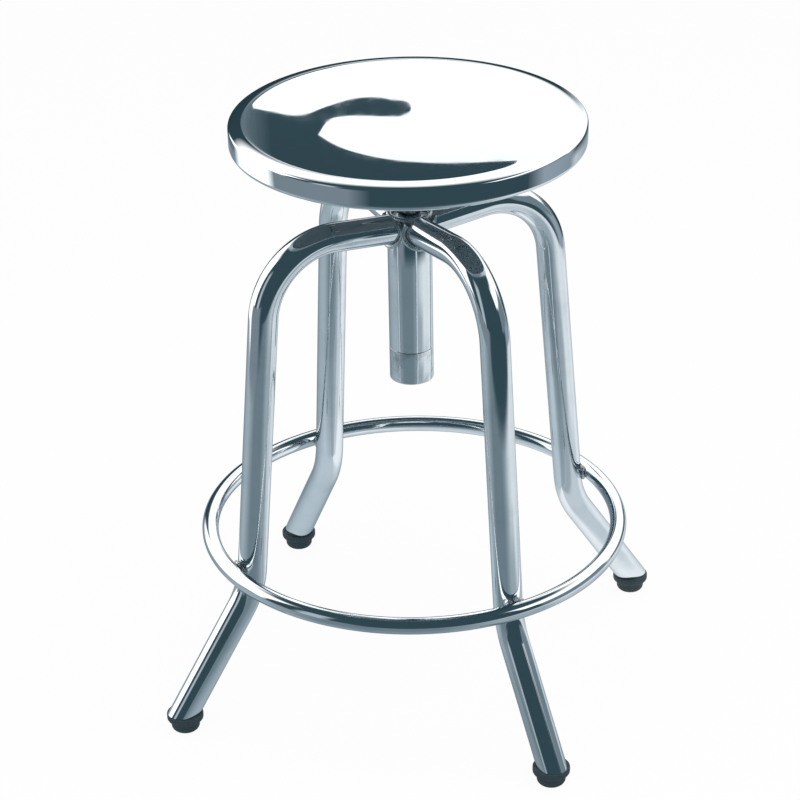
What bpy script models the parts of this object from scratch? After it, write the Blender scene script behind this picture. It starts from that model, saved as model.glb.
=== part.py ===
"""Revolving screw-lift stool: a pressed steel seat on a screw spindle, four bent tube legs and a foot ring.

Metres, +Z up. The origin is on the floor, on the column's axis, and the legs lie along +X, +Y, -X and -Y.
The seat stands at its lowest setting. Turned to the left, seen from above, it climbs on its right-hand screw.
"""

import math

import bmesh
import bpy
from mathutils import Vector

# Space left between two pieces that touch on the real stool
GAP = 0.0003

# Seat: a shallow dished pressing whose edge turns down and then in, round a plywood board
SEAT_DIAMETER = 0.300
SEAT_HEIGHT = 0.527
SEAT_RIM_DEPTH = 0.021
SEAT_SHEET = 0.0015
SEAT_DISH_DEPTH = 0.0045
SEAT_SHOULDER_WIDTH = 0.0125
SEAT_SHOULDER_RADIUS = 0.034
SEAT_CORNER_RADIUS = 0.0025
SEAT_LIP_RADIUS = 0.004
SEAT_LIP_WIDTH = 0.012

# Mounting plate under the board, and the four screws that hold it
PLATE_SIDE = 0.100
PLATE_THICKNESS = 0.004
PLATE_CORNER_RADIUS = 0.012
SCREW_SPACING = 0.076
SCREW_DIAMETER = 0.0042
SCREW_TIP_COVER = 0.0035
SCREW_HEAD_DIAMETER = 0.0090
SCREW_HEAD_HEIGHT = 0.0028
SCREW_HOLE_CLEARANCE = 0.0004

# Spindle: a round bar with a coarse trapezoidal thread, and a plain journal at its lower end
SPINDLE_DIAMETER = 0.0190
SPINDLE_WELD_LEG = 0.0040
THREAD_PITCH = 0.006
THREAD_DEPTH = 0.0021
THREAD_CREST_LOSS = 0.0001
THREAD_FLANK_DEG = 15.0
THREAD_FLANK_CLEARANCE = 0.0003
THREAD_RADIAL_CLEARANCE = 0.0004
LIFT_TURNS = 16

# Nut pressed into the top of the column
NUT_LENGTH = 0.026
NUT_RECESS = 0.0005

# Guide bush, washer and bolt at the spindle's lower end
BUSH_LENGTH = 0.012
JOURNAL_DIAMETER = 0.0120
WASHER_DIAMETER = 0.0220
WASHER_THICKNESS = 0.0020
BOLT_DIAMETER = 0.0080
BOLT_LENGTH = 0.018
BOLT_HEAD_ACROSS = 0.0130
BOLT_HEAD_HEIGHT = 0.0053
BOLT_HOLE_SPARE_DEPTH = 0.003

# Column: a straight tube that hangs below the legs' hub, and the cup that closes it
COLUMN_DIAMETER = 0.0381
COLUMN_WALL = 0.0020
COLUMN_END_ROOM = 0.0062
CUP_HEIGHT = 0.030
CUP_FLOOR = 0.0025
CUP_EDGE_RADIUS = 0.0012

# Legs: an arm out of the column, a right-angle bend, a leaning upright and a splayed lower run
LEG_DIAMETER = 0.0254
LEG_WALL = 0.0015
LEG_LEAN_DEG = 5.0
ARM_HEIGHT = 0.4283
ARM_RISE_OVER_COLUMN = 0.0040
KNEE_REACH = 0.1353
KNEE_BEND_RADIUS = 0.064
ANKLE_HEIGHT = 0.1215
ANKLE_BEND_RADIUS = 0.080
FOOT_CIRCLE_RADIUS = 0.2330

# Foot ring: a tube bent into a hoop and welded to the outside of the legs
RING_HEIGHT = 0.144
RING_TUBE_DIAMETER = 0.0145
RING_TUBE_WALL = 0.0012

# Weld beads, as round rods laid in the corner between two tubes
HUB_BEAD_RADIUS = 0.0016
RING_BEAD_RADIUS = 0.0012

# Rubber feet: a shank in the tube, a flange under its cut end and a boss on the floor
FOOT_FLANGE_DIAMETER = 0.0320
FOOT_FLANGE_THICKNESS = 0.0070
FOOT_FLANGE_EDGE = 0.0012
FOOT_BOSS_DIAMETER = 0.0250
FOOT_BOSS_HEIGHT = 0.0100
FOOT_BOSS_EDGE = 0.0030
FOOT_SHANK_LENGTH = 0.020
FOOT_SHANK_CHAMFER = 0.0015

# How finely round shapes are cut into faces
SEAT_SIDES = 48
COLUMN_SIDES = 32
TUBE_SIDES = 16
KNEE_STEPS = 9
ANKLE_STEPS = 5
THREAD_SIDES = 16
RING_STEPS = 56
RING_SIDES = 10
SMALL_SIDES = 12
BEAD_STEPS = 16
BEAD_SIDES = 6
CENTRE_LINE_SPACING = 0.0002
WELD_DISTANCE = 1e-6
SHARP_ANGLE_DEG = 35.0

# Sizes and heights that follow from those above
SEAT_RADIUS = SEAT_DIAMETER / 2
SEAT_SHOULDER_PLACE = SEAT_RADIUS - SEAT_SHOULDER_WIDTH
SEAT_UNDERSIDE = SEAT_HEIGHT - SEAT_RIM_DEPTH
BOARD_BOTTOM = SEAT_UNDERSIDE + SEAT_SHEET + GAP
BOARD_TOP = SEAT_HEIGHT - SEAT_DISH_DEPTH - SEAT_SHEET - GAP
BOARD_RADIUS = SEAT_RADIUS - max(SEAT_LIP_RADIUS, SEAT_SHEET) - GAP
PLATE_TOP = BOARD_BOTTOM - GAP
PLATE_BOTTOM = PLATE_TOP - PLATE_THICKNESS
LEAN = math.radians(LEG_LEAN_DEG)
LEG_RADIUS = LEG_DIAMETER / 2
COLUMN_RADIUS = COLUMN_DIAMETER / 2
COLUMN_BORE_RADIUS = COLUMN_RADIUS - COLUMN_WALL
ARM_TOP = ARM_HEIGHT + COLUMN_RADIUS * math.tan(LEAN) + LEG_RADIUS / math.cos(LEAN)
COLUMN_TOP = ARM_TOP - ARM_RISE_OVER_COLUMN
NUT_TOP = COLUMN_TOP - NUT_RECESS
NUT_BOTTOM = NUT_TOP - NUT_LENGTH
SPINDLE_RADIUS = SPINDLE_DIAMETER / 2
SPINDLE_TOP = PLATE_BOTTOM - GAP
THREAD_TOP = NUT_TOP + GAP
THREAD_BOTTOM = NUT_BOTTOM - LIFT_TURNS * THREAD_PITCH - GAP
THREAD_CREST_RADIUS = SPINDLE_RADIUS - THREAD_CREST_LOSS
THREAD_ROOT_RADIUS = THREAD_CREST_RADIUS - THREAD_DEPTH
THREAD_MID_RADIUS = (THREAD_CREST_RADIUS + THREAD_ROOT_RADIUS) / 2
BUSH_TOP = THREAD_BOTTOM - GAP
BUSH_BOTTOM = BUSH_TOP - BUSH_LENGTH
JOURNAL_BOTTOM = BUSH_BOTTOM - GAP
WASHER_TOP = JOURNAL_BOTTOM - GAP
WASHER_BOTTOM = WASHER_TOP - WASHER_THICKNESS
BOLT_SEAT = WASHER_BOTTOM - GAP
BOLT_BOTTOM = BOLT_SEAT - BOLT_HEAD_HEIGHT
CUP_BOTTOM = BOLT_BOTTOM - COLUMN_END_ROOM - CUP_FLOOR
CUP_TOP = CUP_BOTTOM + CUP_HEIGHT
COLUMN_TUBE_BOTTOM = CUP_TOP + GAP
FOOT_HEIGHT = FOOT_BOSS_HEIGHT + FOOT_FLANGE_THICKNESS
LEG_END_HEIGHT = FOOT_HEIGHT + GAP
RING_TUBE_RADIUS = RING_TUBE_DIAMETER / 2
LEG_NAMES = ("right", "back", "left", "front")

STEEL = ("polished_stainless", (0.72, 0.75, 0.78), 1.0, 0.12)
WELD = ("weld_bead", (0.48, 0.50, 0.52), 1.0, 0.35)
MACHINED = ("machined_steel", (0.56, 0.57, 0.58), 1.0, 0.30)
ZINC = ("zinc_plated_steel", (0.66, 0.67, 0.66), 1.0, 0.28)
PAINT = ("black_paint", (0.045, 0.052, 0.056), 0.0, 0.45)
PLASTIC = ("white_nylon", (0.86, 0.85, 0.80), 0.0, 0.45)
PLYWOOD = ("plywood", (0.05, 0.06, 0.065), 0.0, 0.60)
RUBBER = ("black_rubber", (0.025, 0.030, 0.033), 0.0, 0.60)


def clear_scene():
    for obj in list(bpy.data.objects):
        bpy.data.objects.remove(obj)


def material(finish):
    """The Principled BSDF material of a finish, made the first time that it is asked for."""
    name, colour, metallic, roughness = finish
    made = bpy.data.materials.get(name)
    if made is None:
        made = bpy.data.materials.new(name)
        made.use_nodes = True
        shader = made.node_tree.nodes["Principled BSDF"]
        shader.inputs["Base Color"].default_value = (*colour, 1.0)
        shader.inputs["Metallic"].default_value = metallic
        shader.inputs["Roughness"].default_value = roughness
    return made


def axis_empty(name, parent=None):
    """An empty on the stool's axis, which carries the pieces of one moving body."""
    empty = bpy.data.objects.new(name, None)
    bpy.context.scene.collection.objects.link(empty)
    empty.empty_display_size = 0.05
    empty.parent = parent
    return empty


def add_object(name, mesh, parent, turn=0.0):
    obj = bpy.data.objects.new(name, mesh)
    bpy.context.scene.collection.objects.link(obj)
    obj.parent = parent
    obj.rotation_euler.z = turn
    return obj


def mesh_from_rows(name, rows, finish, ring=False):
    """A closed mesh through rows of points.

    Each row goes once round the piece and ends on its first point again. With ring set, the last row
    joins the first one, as on a tube or a washer. Otherwise each end is closed by a face.
    """
    shape = bmesh.new()
    grid = [[shape.verts.new(point) for point in row] for row in rows]
    if ring:
        grid.append([shape.verts.new(point) for point in rows[0]])
    for lower, upper in zip(grid, grid[1:]):
        for k in range(len(lower) - 1):
            shape.faces.new((lower[k], lower[k + 1], upper[k + 1], upper[k]))
    bmesh.ops.remove_doubles(shape, verts=shape.verts, dist=WELD_DISTANCE)
    open_edges = [edge for edge in shape.edges if edge.is_boundary]
    if open_edges:
        bmesh.ops.holes_fill(shape, edges=open_edges, sides=0)
    bmesh.ops.recalc_face_normals(shape, faces=shape.faces)
    if shape.calc_volume(signed=True) < 0:
        bmesh.ops.reverse_faces(shape, faces=shape.faces)
    mesh = bpy.data.meshes.new(name)
    shape.to_mesh(mesh)
    shape.free()
    mesh.materials.append(material(finish))
    mesh.shade_smooth()
    mesh.set_sharp_from_angle(angle=math.radians(SHARP_ANGLE_DEG))
    return mesh


def section(centre, across, up, radius, sides):
    """A circle of points about centre, in the plane of the unit vectors across and up."""
    points = []
    for k in range(sides + 1):
        turn = 2 * math.pi * (k % sides) / sides
        points.append(centre + radius * (math.cos(turn) * across + math.sin(turn) * up))
    return points


def turned_row(radius, height, sides, centre_x=0.0):
    centre = Vector((centre_x, 0, height))
    return section(centre, Vector((0, 1, 0)), Vector((1, 0, 0)), radius, sides)


def turned_rows(profile, sides, centre_x=0.0):
    """Rows of a turned piece from its profile, a list of (radius, height)."""
    return [turned_row(radius, height, sides, centre_x) for radius, height in profile]


def arc(centre_r, centre_z, radius, from_deg, to_deg, steps):
    """Points (radius, height) on an arc, ends included. 0 degrees points outwards and 90 up."""
    points = []
    for k in range(steps + 1):
        angle = math.radians(from_deg + (to_deg - from_deg) * k / steps)
        points.append((centre_r + radius * math.cos(angle), centre_z + radius * math.sin(angle)))
    return points


def cutter(name, mesh, target, operation="DIFFERENCE"):
    """Hides a solid from the render and takes it away from the target with a Boolean."""
    tool = add_object(name, mesh, target.parent)
    tool.hide_render = True
    tool.display_type = "WIRE"
    boolean = target.modifiers.new(name, "BOOLEAN")
    boolean.operation = operation
    boolean.solver = "EXACT"
    boolean.object = tool
    return tool


# The seat


def dish_points(shoulder_z, steps):
    """Points (radius, height) of the seat's top, a shallow bowl that meets the rounded shoulder without a kink."""
    slope = math.atan(2 * SEAT_DISH_DEPTH / SEAT_SHOULDER_PLACE)
    edge_r = SEAT_SHOULDER_PLACE - SEAT_SHOULDER_RADIUS * math.sin(slope)
    edge_z = shoulder_z + SEAT_SHOULDER_RADIUS * math.cos(slope)
    depth = edge_r * math.tan(slope) / 2
    return [(edge_r * k / steps, edge_z - depth * (1 - (k / steps) ** 2)) for k in range(steps + 1)]


def build_seat_shell(parent):
    shoulder_z = SEAT_HEIGHT - SEAT_SHOULDER_RADIUS
    corner_r = SEAT_RADIUS - SEAT_CORNER_RADIUS
    apart = SEAT_SHOULDER_RADIUS - SEAT_CORNER_RADIUS
    meet = math.acos((corner_r - SEAT_SHOULDER_PLACE) / apart)
    corner_z = shoulder_z + apart * math.sin(meet)
    meet_deg = math.degrees(meet)
    dish = dish_points(shoulder_z, 6)
    lip_z = SEAT_UNDERSIDE + SEAT_LIP_RADIUS
    lip_r = SEAT_RADIUS - SEAT_LIP_RADIUS
    outside = dish + arc(SEAT_SHOULDER_PLACE, shoulder_z, SEAT_SHOULDER_RADIUS, 90, meet_deg, 2)
    outside += arc(corner_r, corner_z, SEAT_CORNER_RADIUS, meet_deg, 0, 3)[1:]
    outside += arc(lip_r, lip_z, SEAT_LIP_RADIUS, 0, -90, 3)
    outside += [(SEAT_RADIUS - SEAT_LIP_WIDTH, SEAT_UNDERSIDE)]
    inside = [(SEAT_RADIUS - SEAT_LIP_WIDTH, SEAT_UNDERSIDE + SEAT_SHEET)]
    inside += arc(lip_r, lip_z, SEAT_LIP_RADIUS - SEAT_SHEET, -90, 0, 3)
    inside += arc(corner_r, corner_z, SEAT_CORNER_RADIUS - SEAT_SHEET, 0, meet_deg, 2)
    inside += arc(SEAT_SHOULDER_PLACE, shoulder_z, SEAT_SHOULDER_RADIUS - SEAT_SHEET, meet_deg, 90, 2)[1:]
    inside += [(radius, height - SEAT_SHEET) for radius, height in reversed(dish)]
    rows = turned_rows(outside + inside, SEAT_SIDES)
    add_object("seat_shell", mesh_from_rows("seat_shell", rows, STEEL), parent)


def screw_places():
    half = SCREW_SPACING / 2
    return [(half, half), (-half, half), (-half, -half), (half, -half)]


def build_seat_board(parent):
    """The plywood disc that stiffens the seat, with a blind pilot hole for each screw."""
    profile = [(0, BOARD_BOTTOM), (BOARD_RADIUS, BOARD_BOTTOM), (BOARD_RADIUS, BOARD_TOP), (0, BOARD_TOP)]
    rows = turned_rows(profile, SEAT_SIDES)
    board = add_object("seat_board", mesh_from_rows("seat_board", rows, PLYWOOD), parent)
    radius = SCREW_DIAMETER / 2 + SCREW_HOLE_CLEARANCE
    hole = [(radius, PLATE_BOTTOM), (radius, BOARD_TOP - SCREW_TIP_COVER + GAP)]
    for k, (x, y) in enumerate(screw_places()):
        mesh = mesh_from_rows(f"pilot_hole_{k + 1}", turned_rows(hole, SMALL_SIDES), PLYWOOD)
        cutter(f"pilot_hole_{k + 1}", mesh, board).location = (x, y, 0)


def build_mounting_plate(parent):
    """A square plate of black-painted steel with round corners, drilled for the four screws."""
    inner = PLATE_SIDE / 2 - PLATE_CORNER_RADIUS
    outline = []
    for k, (sign_x, sign_y) in enumerate(((1, 1), (-1, 1), (-1, -1), (1, -1))):
        corner = arc(sign_x * inner, sign_y * inner, PLATE_CORNER_RADIUS, 90 * k, 90 * (k + 1), 4)
        outline += corner
    outline.append(outline[0])
    rows = [[Vector((x, y, height)) for x, y in outline] for height in (PLATE_BOTTOM, PLATE_TOP)]
    plate = add_object("mounting_plate", mesh_from_rows("mounting_plate", rows, PAINT), parent)
    radius = SCREW_DIAMETER / 2 + SCREW_HOLE_CLEARANCE
    hole = [(radius, PLATE_BOTTOM - PLATE_THICKNESS), (radius, PLATE_TOP + PLATE_THICKNESS)]
    for k, (x, y) in enumerate(screw_places()):
        mesh = mesh_from_rows(f"screw_hole_{k + 1}", turned_rows(hole, SMALL_SIDES), PAINT)
        cutter(f"screw_hole_{k + 1}", mesh, plate).location = (x, y, 0)


def build_plate_screws(parent):
    """Four pan-head wood screws, from under the plate up into the board."""
    seat = PLATE_BOTTOM - GAP
    tip = BOARD_TOP - SCREW_TIP_COVER
    head = SCREW_HEAD_DIAMETER / 2
    shank = SCREW_DIAMETER / 2
    profile = [(0, seat - SCREW_HEAD_HEIGHT), (head * 0.7, seat - SCREW_HEAD_HEIGHT * 0.85)]
    profile += [(head, seat - SCREW_HEAD_HEIGHT * 0.4), (head, seat), (shank, seat)]
    profile += [(shank, tip - 2 * shank), (0, tip)]
    mesh = mesh_from_rows("plate_screw", turned_rows(profile, SMALL_SIDES), ZINC)
    for k, (x, y) in enumerate(screw_places()):
        add_object(f"plate_screw_{k + 1}", mesh, parent).location = (x, y, 0)


# The spindle and the nut that it climbs in


def thread_half_width(radius):
    """Half the spindle tooth's width at a radius. Tooth and nut tooth share the pitch, less the clearance."""
    middle = (THREAD_PITCH / 2 - THREAD_FLANK_CLEARANCE) / 2
    return middle - (radius - THREAD_MID_RADIUS) * math.tan(math.radians(THREAD_FLANK_DEG))


def nut_half_width(radius):
    middle = (THREAD_PITCH / 2 - THREAD_FLANK_CLEARANCE) / 2
    return middle + (radius - THREAD_MID_RADIUS) * math.tan(math.radians(THREAD_FLANK_DEG))


def spindle_tooth():
    """One pitch of the spindle's outline, as (height, radius) with the tooth's middle at height 0."""
    root = thread_half_width(THREAD_ROOT_RADIUS)
    crest = thread_half_width(THREAD_CREST_RADIUS)
    return [
        (-root, THREAD_ROOT_RADIUS),
        (-crest, THREAD_CREST_RADIUS),
        (crest, THREAD_CREST_RADIUS),
        (root, THREAD_ROOT_RADIUS),
    ]


def nut_tooth():
    """One pitch of the nut's bore. The nut's own tooth stands half a pitch above the spindle's."""
    inner = THREAD_ROOT_RADIUS + THREAD_RADIAL_CLEARANCE
    outer = THREAD_CREST_RADIUS + THREAD_RADIAL_CLEARANCE
    wide = nut_half_width(outer)
    narrow = nut_half_width(inner)
    middle = THREAD_PITCH / 2
    return [(middle - wide, outer), (middle - narrow, inner), (middle + narrow, inner), (middle + wide, outer)]


def tooth_radius(tooth, height):
    """The outline's radius at a height, read between its points and repeated at each pitch."""
    height = (height - tooth[0][0]) % THREAD_PITCH + tooth[0][0]
    points = tooth + [(tooth[0][0] + THREAD_PITCH, tooth[0][1])]
    for (low, radius_low), (high, radius_high) in zip(points, points[1:]):
        if height <= high:
            return radius_low + (radius_high - radius_low) * (height - low) / (high - low)
    return points[-1][1]


def thread_rows(tooth, bottom, top):
    """Rows that follow the right-hand helix, cut off square at the bottom and top heights."""
    rows = []
    first = math.floor(bottom / THREAD_PITCH) - 2
    last = math.ceil(top / THREAD_PITCH) + 1
    for turn in range(first, last + 1):
        for offset, radius in tooth:
            row = []
            for k in range(THREAD_SIDES + 1):
                share = k / THREAD_SIDES
                height = (turn + share) * THREAD_PITCH + offset
                reach = radius
                if not bottom < height < top:
                    height = min(max(height, bottom), top)
                    reach = tooth_radius(tooth, height - share * THREAD_PITCH)
                angle = 2 * math.pi * (k % THREAD_SIDES) / THREAD_SIDES
                row.append(Vector((reach * math.cos(angle), reach * math.sin(angle), height)))
            rows.append(row)
    return rows


def plain_row(radius, height):
    """A round row whose points stand at the same angles as the thread's."""
    return section(Vector((0, 0, height)), Vector((1, 0, 0)), Vector((0, 1, 0)), radius, THREAD_SIDES)


def build_spindle(parent):
    """The bar from the bolt hole in its lower end, over the journal and the thread, to the plate."""
    journal = JOURNAL_DIAMETER / 2
    hole = BOLT_DIAMETER / 2 + GAP
    hole_top = BOLT_SEAT + BOLT_LENGTH + BOLT_HOLE_SPARE_DEPTH
    rows = [plain_row(0, hole_top), plain_row(hole, hole_top), plain_row(hole, JOURNAL_BOTTOM)]
    rows += [plain_row(journal, JOURNAL_BOTTOM), plain_row(journal, THREAD_BOTTOM)]
    rows += thread_rows(spindle_tooth(), THREAD_BOTTOM, THREAD_TOP)
    rows += [plain_row(SPINDLE_RADIUS, THREAD_TOP), plain_row(SPINDLE_RADIUS, SPINDLE_TOP), plain_row(0, SPINDLE_TOP)]
    add_object("spindle", mesh_from_rows("spindle", rows, MACHINED), parent)


def build_spindle_weld(parent):
    """The fillet weld between the spindle and the mounting plate."""
    inner = SPINDLE_RADIUS + GAP
    top = SPINDLE_TOP
    profile = [(inner, top), (inner, top - SPINDLE_WELD_LEG), (inner + SPINDLE_WELD_LEG * 0.4, top - SPINDLE_WELD_LEG * 0.75)]
    profile += [(inner + SPINDLE_WELD_LEG * 0.75, top - SPINDLE_WELD_LEG * 0.4), (inner + SPINDLE_WELD_LEG, top)]
    rows = turned_rows(profile, THREAD_SIDES)
    add_object("spindle_weld", mesh_from_rows("spindle_weld", rows, WELD, ring=True), parent)


def build_spindle_nut(parent):
    """The round nut, whose bore is the spindle's thread with its clearances."""
    body = COLUMN_BORE_RADIUS - GAP
    rows = thread_rows(nut_tooth(), NUT_BOTTOM, NUT_TOP)
    rows += [plain_row(body, NUT_TOP), plain_row(body, NUT_BOTTOM)]
    add_object("spindle_nut", mesh_from_rows("spindle_nut", rows, MACHINED, ring=True), parent)


def build_guide_bush(parent):
    """The nylon bush that steadies the spindle's lower end in the column, and doesn't turn with it."""
    outer = COLUMN_BORE_RADIUS - GAP
    bore = JOURNAL_DIAMETER / 2 + GAP
    profile = [(bore, BUSH_BOTTOM), (outer, BUSH_BOTTOM), (outer, BUSH_TOP), (bore, BUSH_TOP)]
    rows = turned_rows(profile, THREAD_SIDES)
    add_object("guide_bush", mesh_from_rows("guide_bush", rows, PLASTIC, ring=True), parent)


def build_end_washer(parent):
    bore = BOLT_DIAMETER / 2 + GAP
    outer = WASHER_DIAMETER / 2
    profile = [(bore, WASHER_BOTTOM), (outer, WASHER_BOTTOM), (outer, WASHER_TOP), (bore, WASHER_TOP)]
    rows = turned_rows(profile, THREAD_SIDES)
    add_object("end_washer", mesh_from_rows("end_washer", rows, ZINC, ring=True), parent)


def hexagon_row(across, height):
    """A hexagon drawn with twelve points, so that it joins the bolt's round rows."""
    points = []
    for k in range(SMALL_SIDES + 1):
        reach = across / 2 if k % 2 else across / math.sqrt(3)
        angle = 2 * math.pi * (k % SMALL_SIDES) / SMALL_SIDES
        points.append(Vector((reach * math.sin(angle), reach * math.cos(angle), height)))
    return points


def build_end_bolt(parent):
    """The bolt that holds the washer and the bush on the spindle, with its head below."""
    shank = BOLT_DIAMETER / 2
    tip = BOLT_SEAT + BOLT_LENGTH
    rows = [turned_row(BOLT_HEAD_ACROSS / 2 - GAP, BOLT_BOTTOM, SMALL_SIDES)]
    rows += [hexagon_row(BOLT_HEAD_ACROSS, BOLT_BOTTOM + BOLT_HEAD_HEIGHT / 6), hexagon_row(BOLT_HEAD_ACROSS, BOLT_SEAT)]
    rows += turned_rows([(shank, BOLT_SEAT), (shank, tip - shank / 4), (shank * 0.75, tip)], SMALL_SIDES)
    add_object("end_bolt", mesh_from_rows("end_bolt", rows, ZINC), parent)


# The column


def build_column_tube(parent):
    profile = [(COLUMN_BORE_RADIUS, COLUMN_TUBE_BOTTOM), (COLUMN_RADIUS, COLUMN_TUBE_BOTTOM)]
    profile += [(COLUMN_RADIUS, COLUMN_TOP), (COLUMN_BORE_RADIUS, COLUMN_TOP)]
    rows = turned_rows(profile, COLUMN_SIDES)
    add_object("column_tube", mesh_from_rows("column_tube", rows, STEEL, ring=True), parent)


def build_column_cup(parent):
    """The drawn cup that closes the column's lower end, with the same outside and bore as the tube."""
    floor = CUP_BOTTOM + CUP_FLOOR
    edge = arc(COLUMN_RADIUS - CUP_EDGE_RADIUS, CUP_BOTTOM + CUP_EDGE_RADIUS, CUP_EDGE_RADIUS, -90, 0, 3)
    profile = [(0, CUP_BOTTOM)] + edge + [(COLUMN_RADIUS, CUP_TOP), (COLUMN_BORE_RADIUS, CUP_TOP)]
    profile += [(COLUMN_BORE_RADIUS, floor), (0, floor)]
    rows = turned_rows(profile, COLUMN_SIDES)
    add_object("column_end_cup", mesh_from_rows("column_end_cup", rows, STEEL), parent)


# The legs, drawn towards +X in the XZ plane and turned into place


def straight_direction(start, end):
    return (Vector(end) - Vector(start)).normalized()


def bend(before, corner, after, radius, steps):
    """Centre-line stations (point, direction) round the bend between two straight runs that meet at corner."""
    into = straight_direction(before, corner)
    out = straight_direction(corner, after)
    angle = into.angle(out)
    side = (out - into).normalized()
    middle = Vector(corner) + side * radius / math.cos(angle / 2)
    stations = []
    for k in range(steps + 1):
        share = k / steps
        direction = into * math.sin(angle * (1 - share)) + out * math.sin(angle * share)
        direction.normalize()
        turn = 1 if into.x * out.z - into.z * out.x < 0 else -1
        outward = Vector((-direction.z, 0, direction.x)) * turn
        stations.append((middle + outward * radius, direction))
    return stations


def leg_corners():
    """The points where the leg's straight runs would meet: on the column's axis, knee, ankle and floor end."""
    hub = Vector((0, 0, ARM_HEIGHT))
    knee = Vector((KNEE_REACH, 0, ARM_HEIGHT + KNEE_REACH * math.tan(LEAN)))
    ankle = Vector((knee.x + (knee.z - ANKLE_HEIGHT) * math.tan(LEAN), 0, ANKLE_HEIGHT))
    end = Vector((FOOT_CIRCLE_RADIUS, 0, LEG_END_HEIGHT))
    return hub, knee, ankle, end


def leg_stations():
    hub, knee, ankle, end = leg_corners()
    stations = bend(hub, knee, ankle, KNEE_BEND_RADIUS, KNEE_STEPS)
    stations += bend(knee, ankle, end, ANKLE_BEND_RADIUS, ANKLE_STEPS)
    return stations


def upward(direction):
    """The unit vector square to a centre-line direction, in the leg's own plane."""
    return Vector((-direction.z, 0, direction.x))


def coped_row(radius):
    """The arm's end row, cut to the column's curve and mitred clear of the arms beside it."""
    hub, knee, _, _ = leg_corners()
    along = straight_direction(hub, knee)
    across = Vector((0, 1, 0))
    up = upward(along)
    face = COLUMN_RADIUS + GAP
    row = []
    for point in section(hub, across, up, radius, TUBE_SIDES):
        reach = max(math.sqrt(max(face**2 - point.y**2, 0)), abs(point.y) + GAP)
        row.append(point + along * (reach - point.x) / along.x)
    return row


def floor_row(radius, height):
    """The leg tube's section by a level plane, about the centre line of its lower run."""
    _, _, ankle, end = leg_corners()
    along = straight_direction(ankle, end)
    row = []
    for point in section(end, Vector((0, 1, 0)), upward(along), radius, TUBE_SIDES):
        row.append(point + along * (height - point.z) / along.z)
    return row


def tube_wall(radius):
    rows = [coped_row(radius)]
    for point, direction in leg_stations():
        rows.append(section(point, Vector((0, 1, 0)), upward(direction), radius, TUBE_SIDES))
    rows.append(floor_row(radius, LEG_END_HEIGHT))
    return rows


def leg_turns():
    return [(name, 2 * math.pi * k / len(LEG_NAMES)) for k, name in enumerate(LEG_NAMES)]


def build_legs(parent):
    outside = tube_wall(LEG_RADIUS)
    inside = tube_wall(LEG_RADIUS - LEG_WALL)
    mesh = mesh_from_rows("leg", outside + inside[::-1], STEEL, ring=True)
    for name, turn in leg_turns():
        add_object(f"leg_{name}", mesh, parent, turn)


def build_feet(parent):
    """Rubber feet: each shank lies along the splayed tube, and the flange and boss stand upright."""
    boss = FOOT_BOSS_DIAMETER / 2
    flange = FOOT_FLANGE_DIAMETER / 2
    shank = LEG_RADIUS - LEG_WALL - GAP
    profile = [(0, 0)] + arc(boss - FOOT_BOSS_EDGE, FOOT_BOSS_EDGE, FOOT_BOSS_EDGE, -90, 0, 3)
    profile += [(boss, FOOT_BOSS_HEIGHT), (flange - FOOT_FLANGE_EDGE, FOOT_BOSS_HEIGHT)]
    profile += [(flange, FOOT_BOSS_HEIGHT + FOOT_FLANGE_EDGE), (flange, FOOT_HEIGHT - FOOT_FLANGE_EDGE)]
    profile += [(flange - FOOT_FLANGE_EDGE, FOOT_HEIGHT)]
    rows = turned_rows(profile, TUBE_SIDES, FOOT_CIRCLE_RADIUS)
    rows.append(floor_row(shank, FOOT_HEIGHT))
    _, _, ankle, end = leg_corners()
    along = straight_direction(ankle, end)
    for reach, radius in ((FOOT_SHANK_LENGTH - FOOT_SHANK_CHAMFER, shank), (FOOT_SHANK_LENGTH, shank - FOOT_SHANK_CHAMFER)):
        rows.append(section(end - along * reach, Vector((0, 1, 0)), upward(along), radius, TUBE_SIDES))
    mesh = mesh_from_rows("foot", rows, RUBBER)
    for name, turn in leg_turns():
        add_object(f"foot_{name}", mesh, parent, turn)


def bead_rows(path, radius, closed=True):
    """Round rows along a path, which closes on itself or ends at its first and last points."""
    rows = []
    centre = sum(path, Vector()) / len(path)
    last = len(path) - 1
    for k, point in enumerate(path):
        after = path[(k + 1) % len(path)] if closed or k < last else point
        before = path[k - 1] if closed or k > 0 else point
        along = (after - before).normalized()
        outward = point - centre
        outward = (outward - along * outward.dot(along)).normalized()
        rows.append(section(point, outward, along.cross(outward), radius, BEAD_SIDES))
    return rows


def build_hub_welds(parent):
    """The bead under and beside each arm, from rim to rim, dressed flat where it meets the next bead."""
    hub, knee, _, _ = leg_corners()
    along = straight_direction(hub, knee)
    up = upward(along)
    clear = HUB_BEAD_RADIUS + GAP
    beside_leg = LEG_RADIUS + clear
    beside_column = COLUMN_RADIUS + clear
    rim_rise = COLUMN_TOP - ARM_HEIGHT - beside_column * math.tan(LEAN)
    top_turn = math.asin(max(min(rim_rise / beside_leg, 1), -1))
    path = []
    for k in range(BEAD_STEPS + 1):
        turn = math.pi - top_turn + (math.pi + 2 * top_turn) * k / BEAD_STEPS
        y = beside_leg * math.cos(turn)
        start = hub + up * beside_leg * math.sin(turn)
        x = math.sqrt(beside_column**2 - y**2)
        path.append(start + along * (x - start.x) / along.x + Vector((0, y, 0)))
    rows = bead_rows(path, HUB_BEAD_RADIUS, closed=False)
    for row in rows:
        for point in row:
            limit = point.x - GAP
            point.y = min(max(point.y, -limit), limit)
    mesh = mesh_from_rows("hub_weld", rows, WELD)
    for name, turn in leg_turns():
        add_object(f"hub_weld_{name}", mesh, parent, turn)


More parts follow.
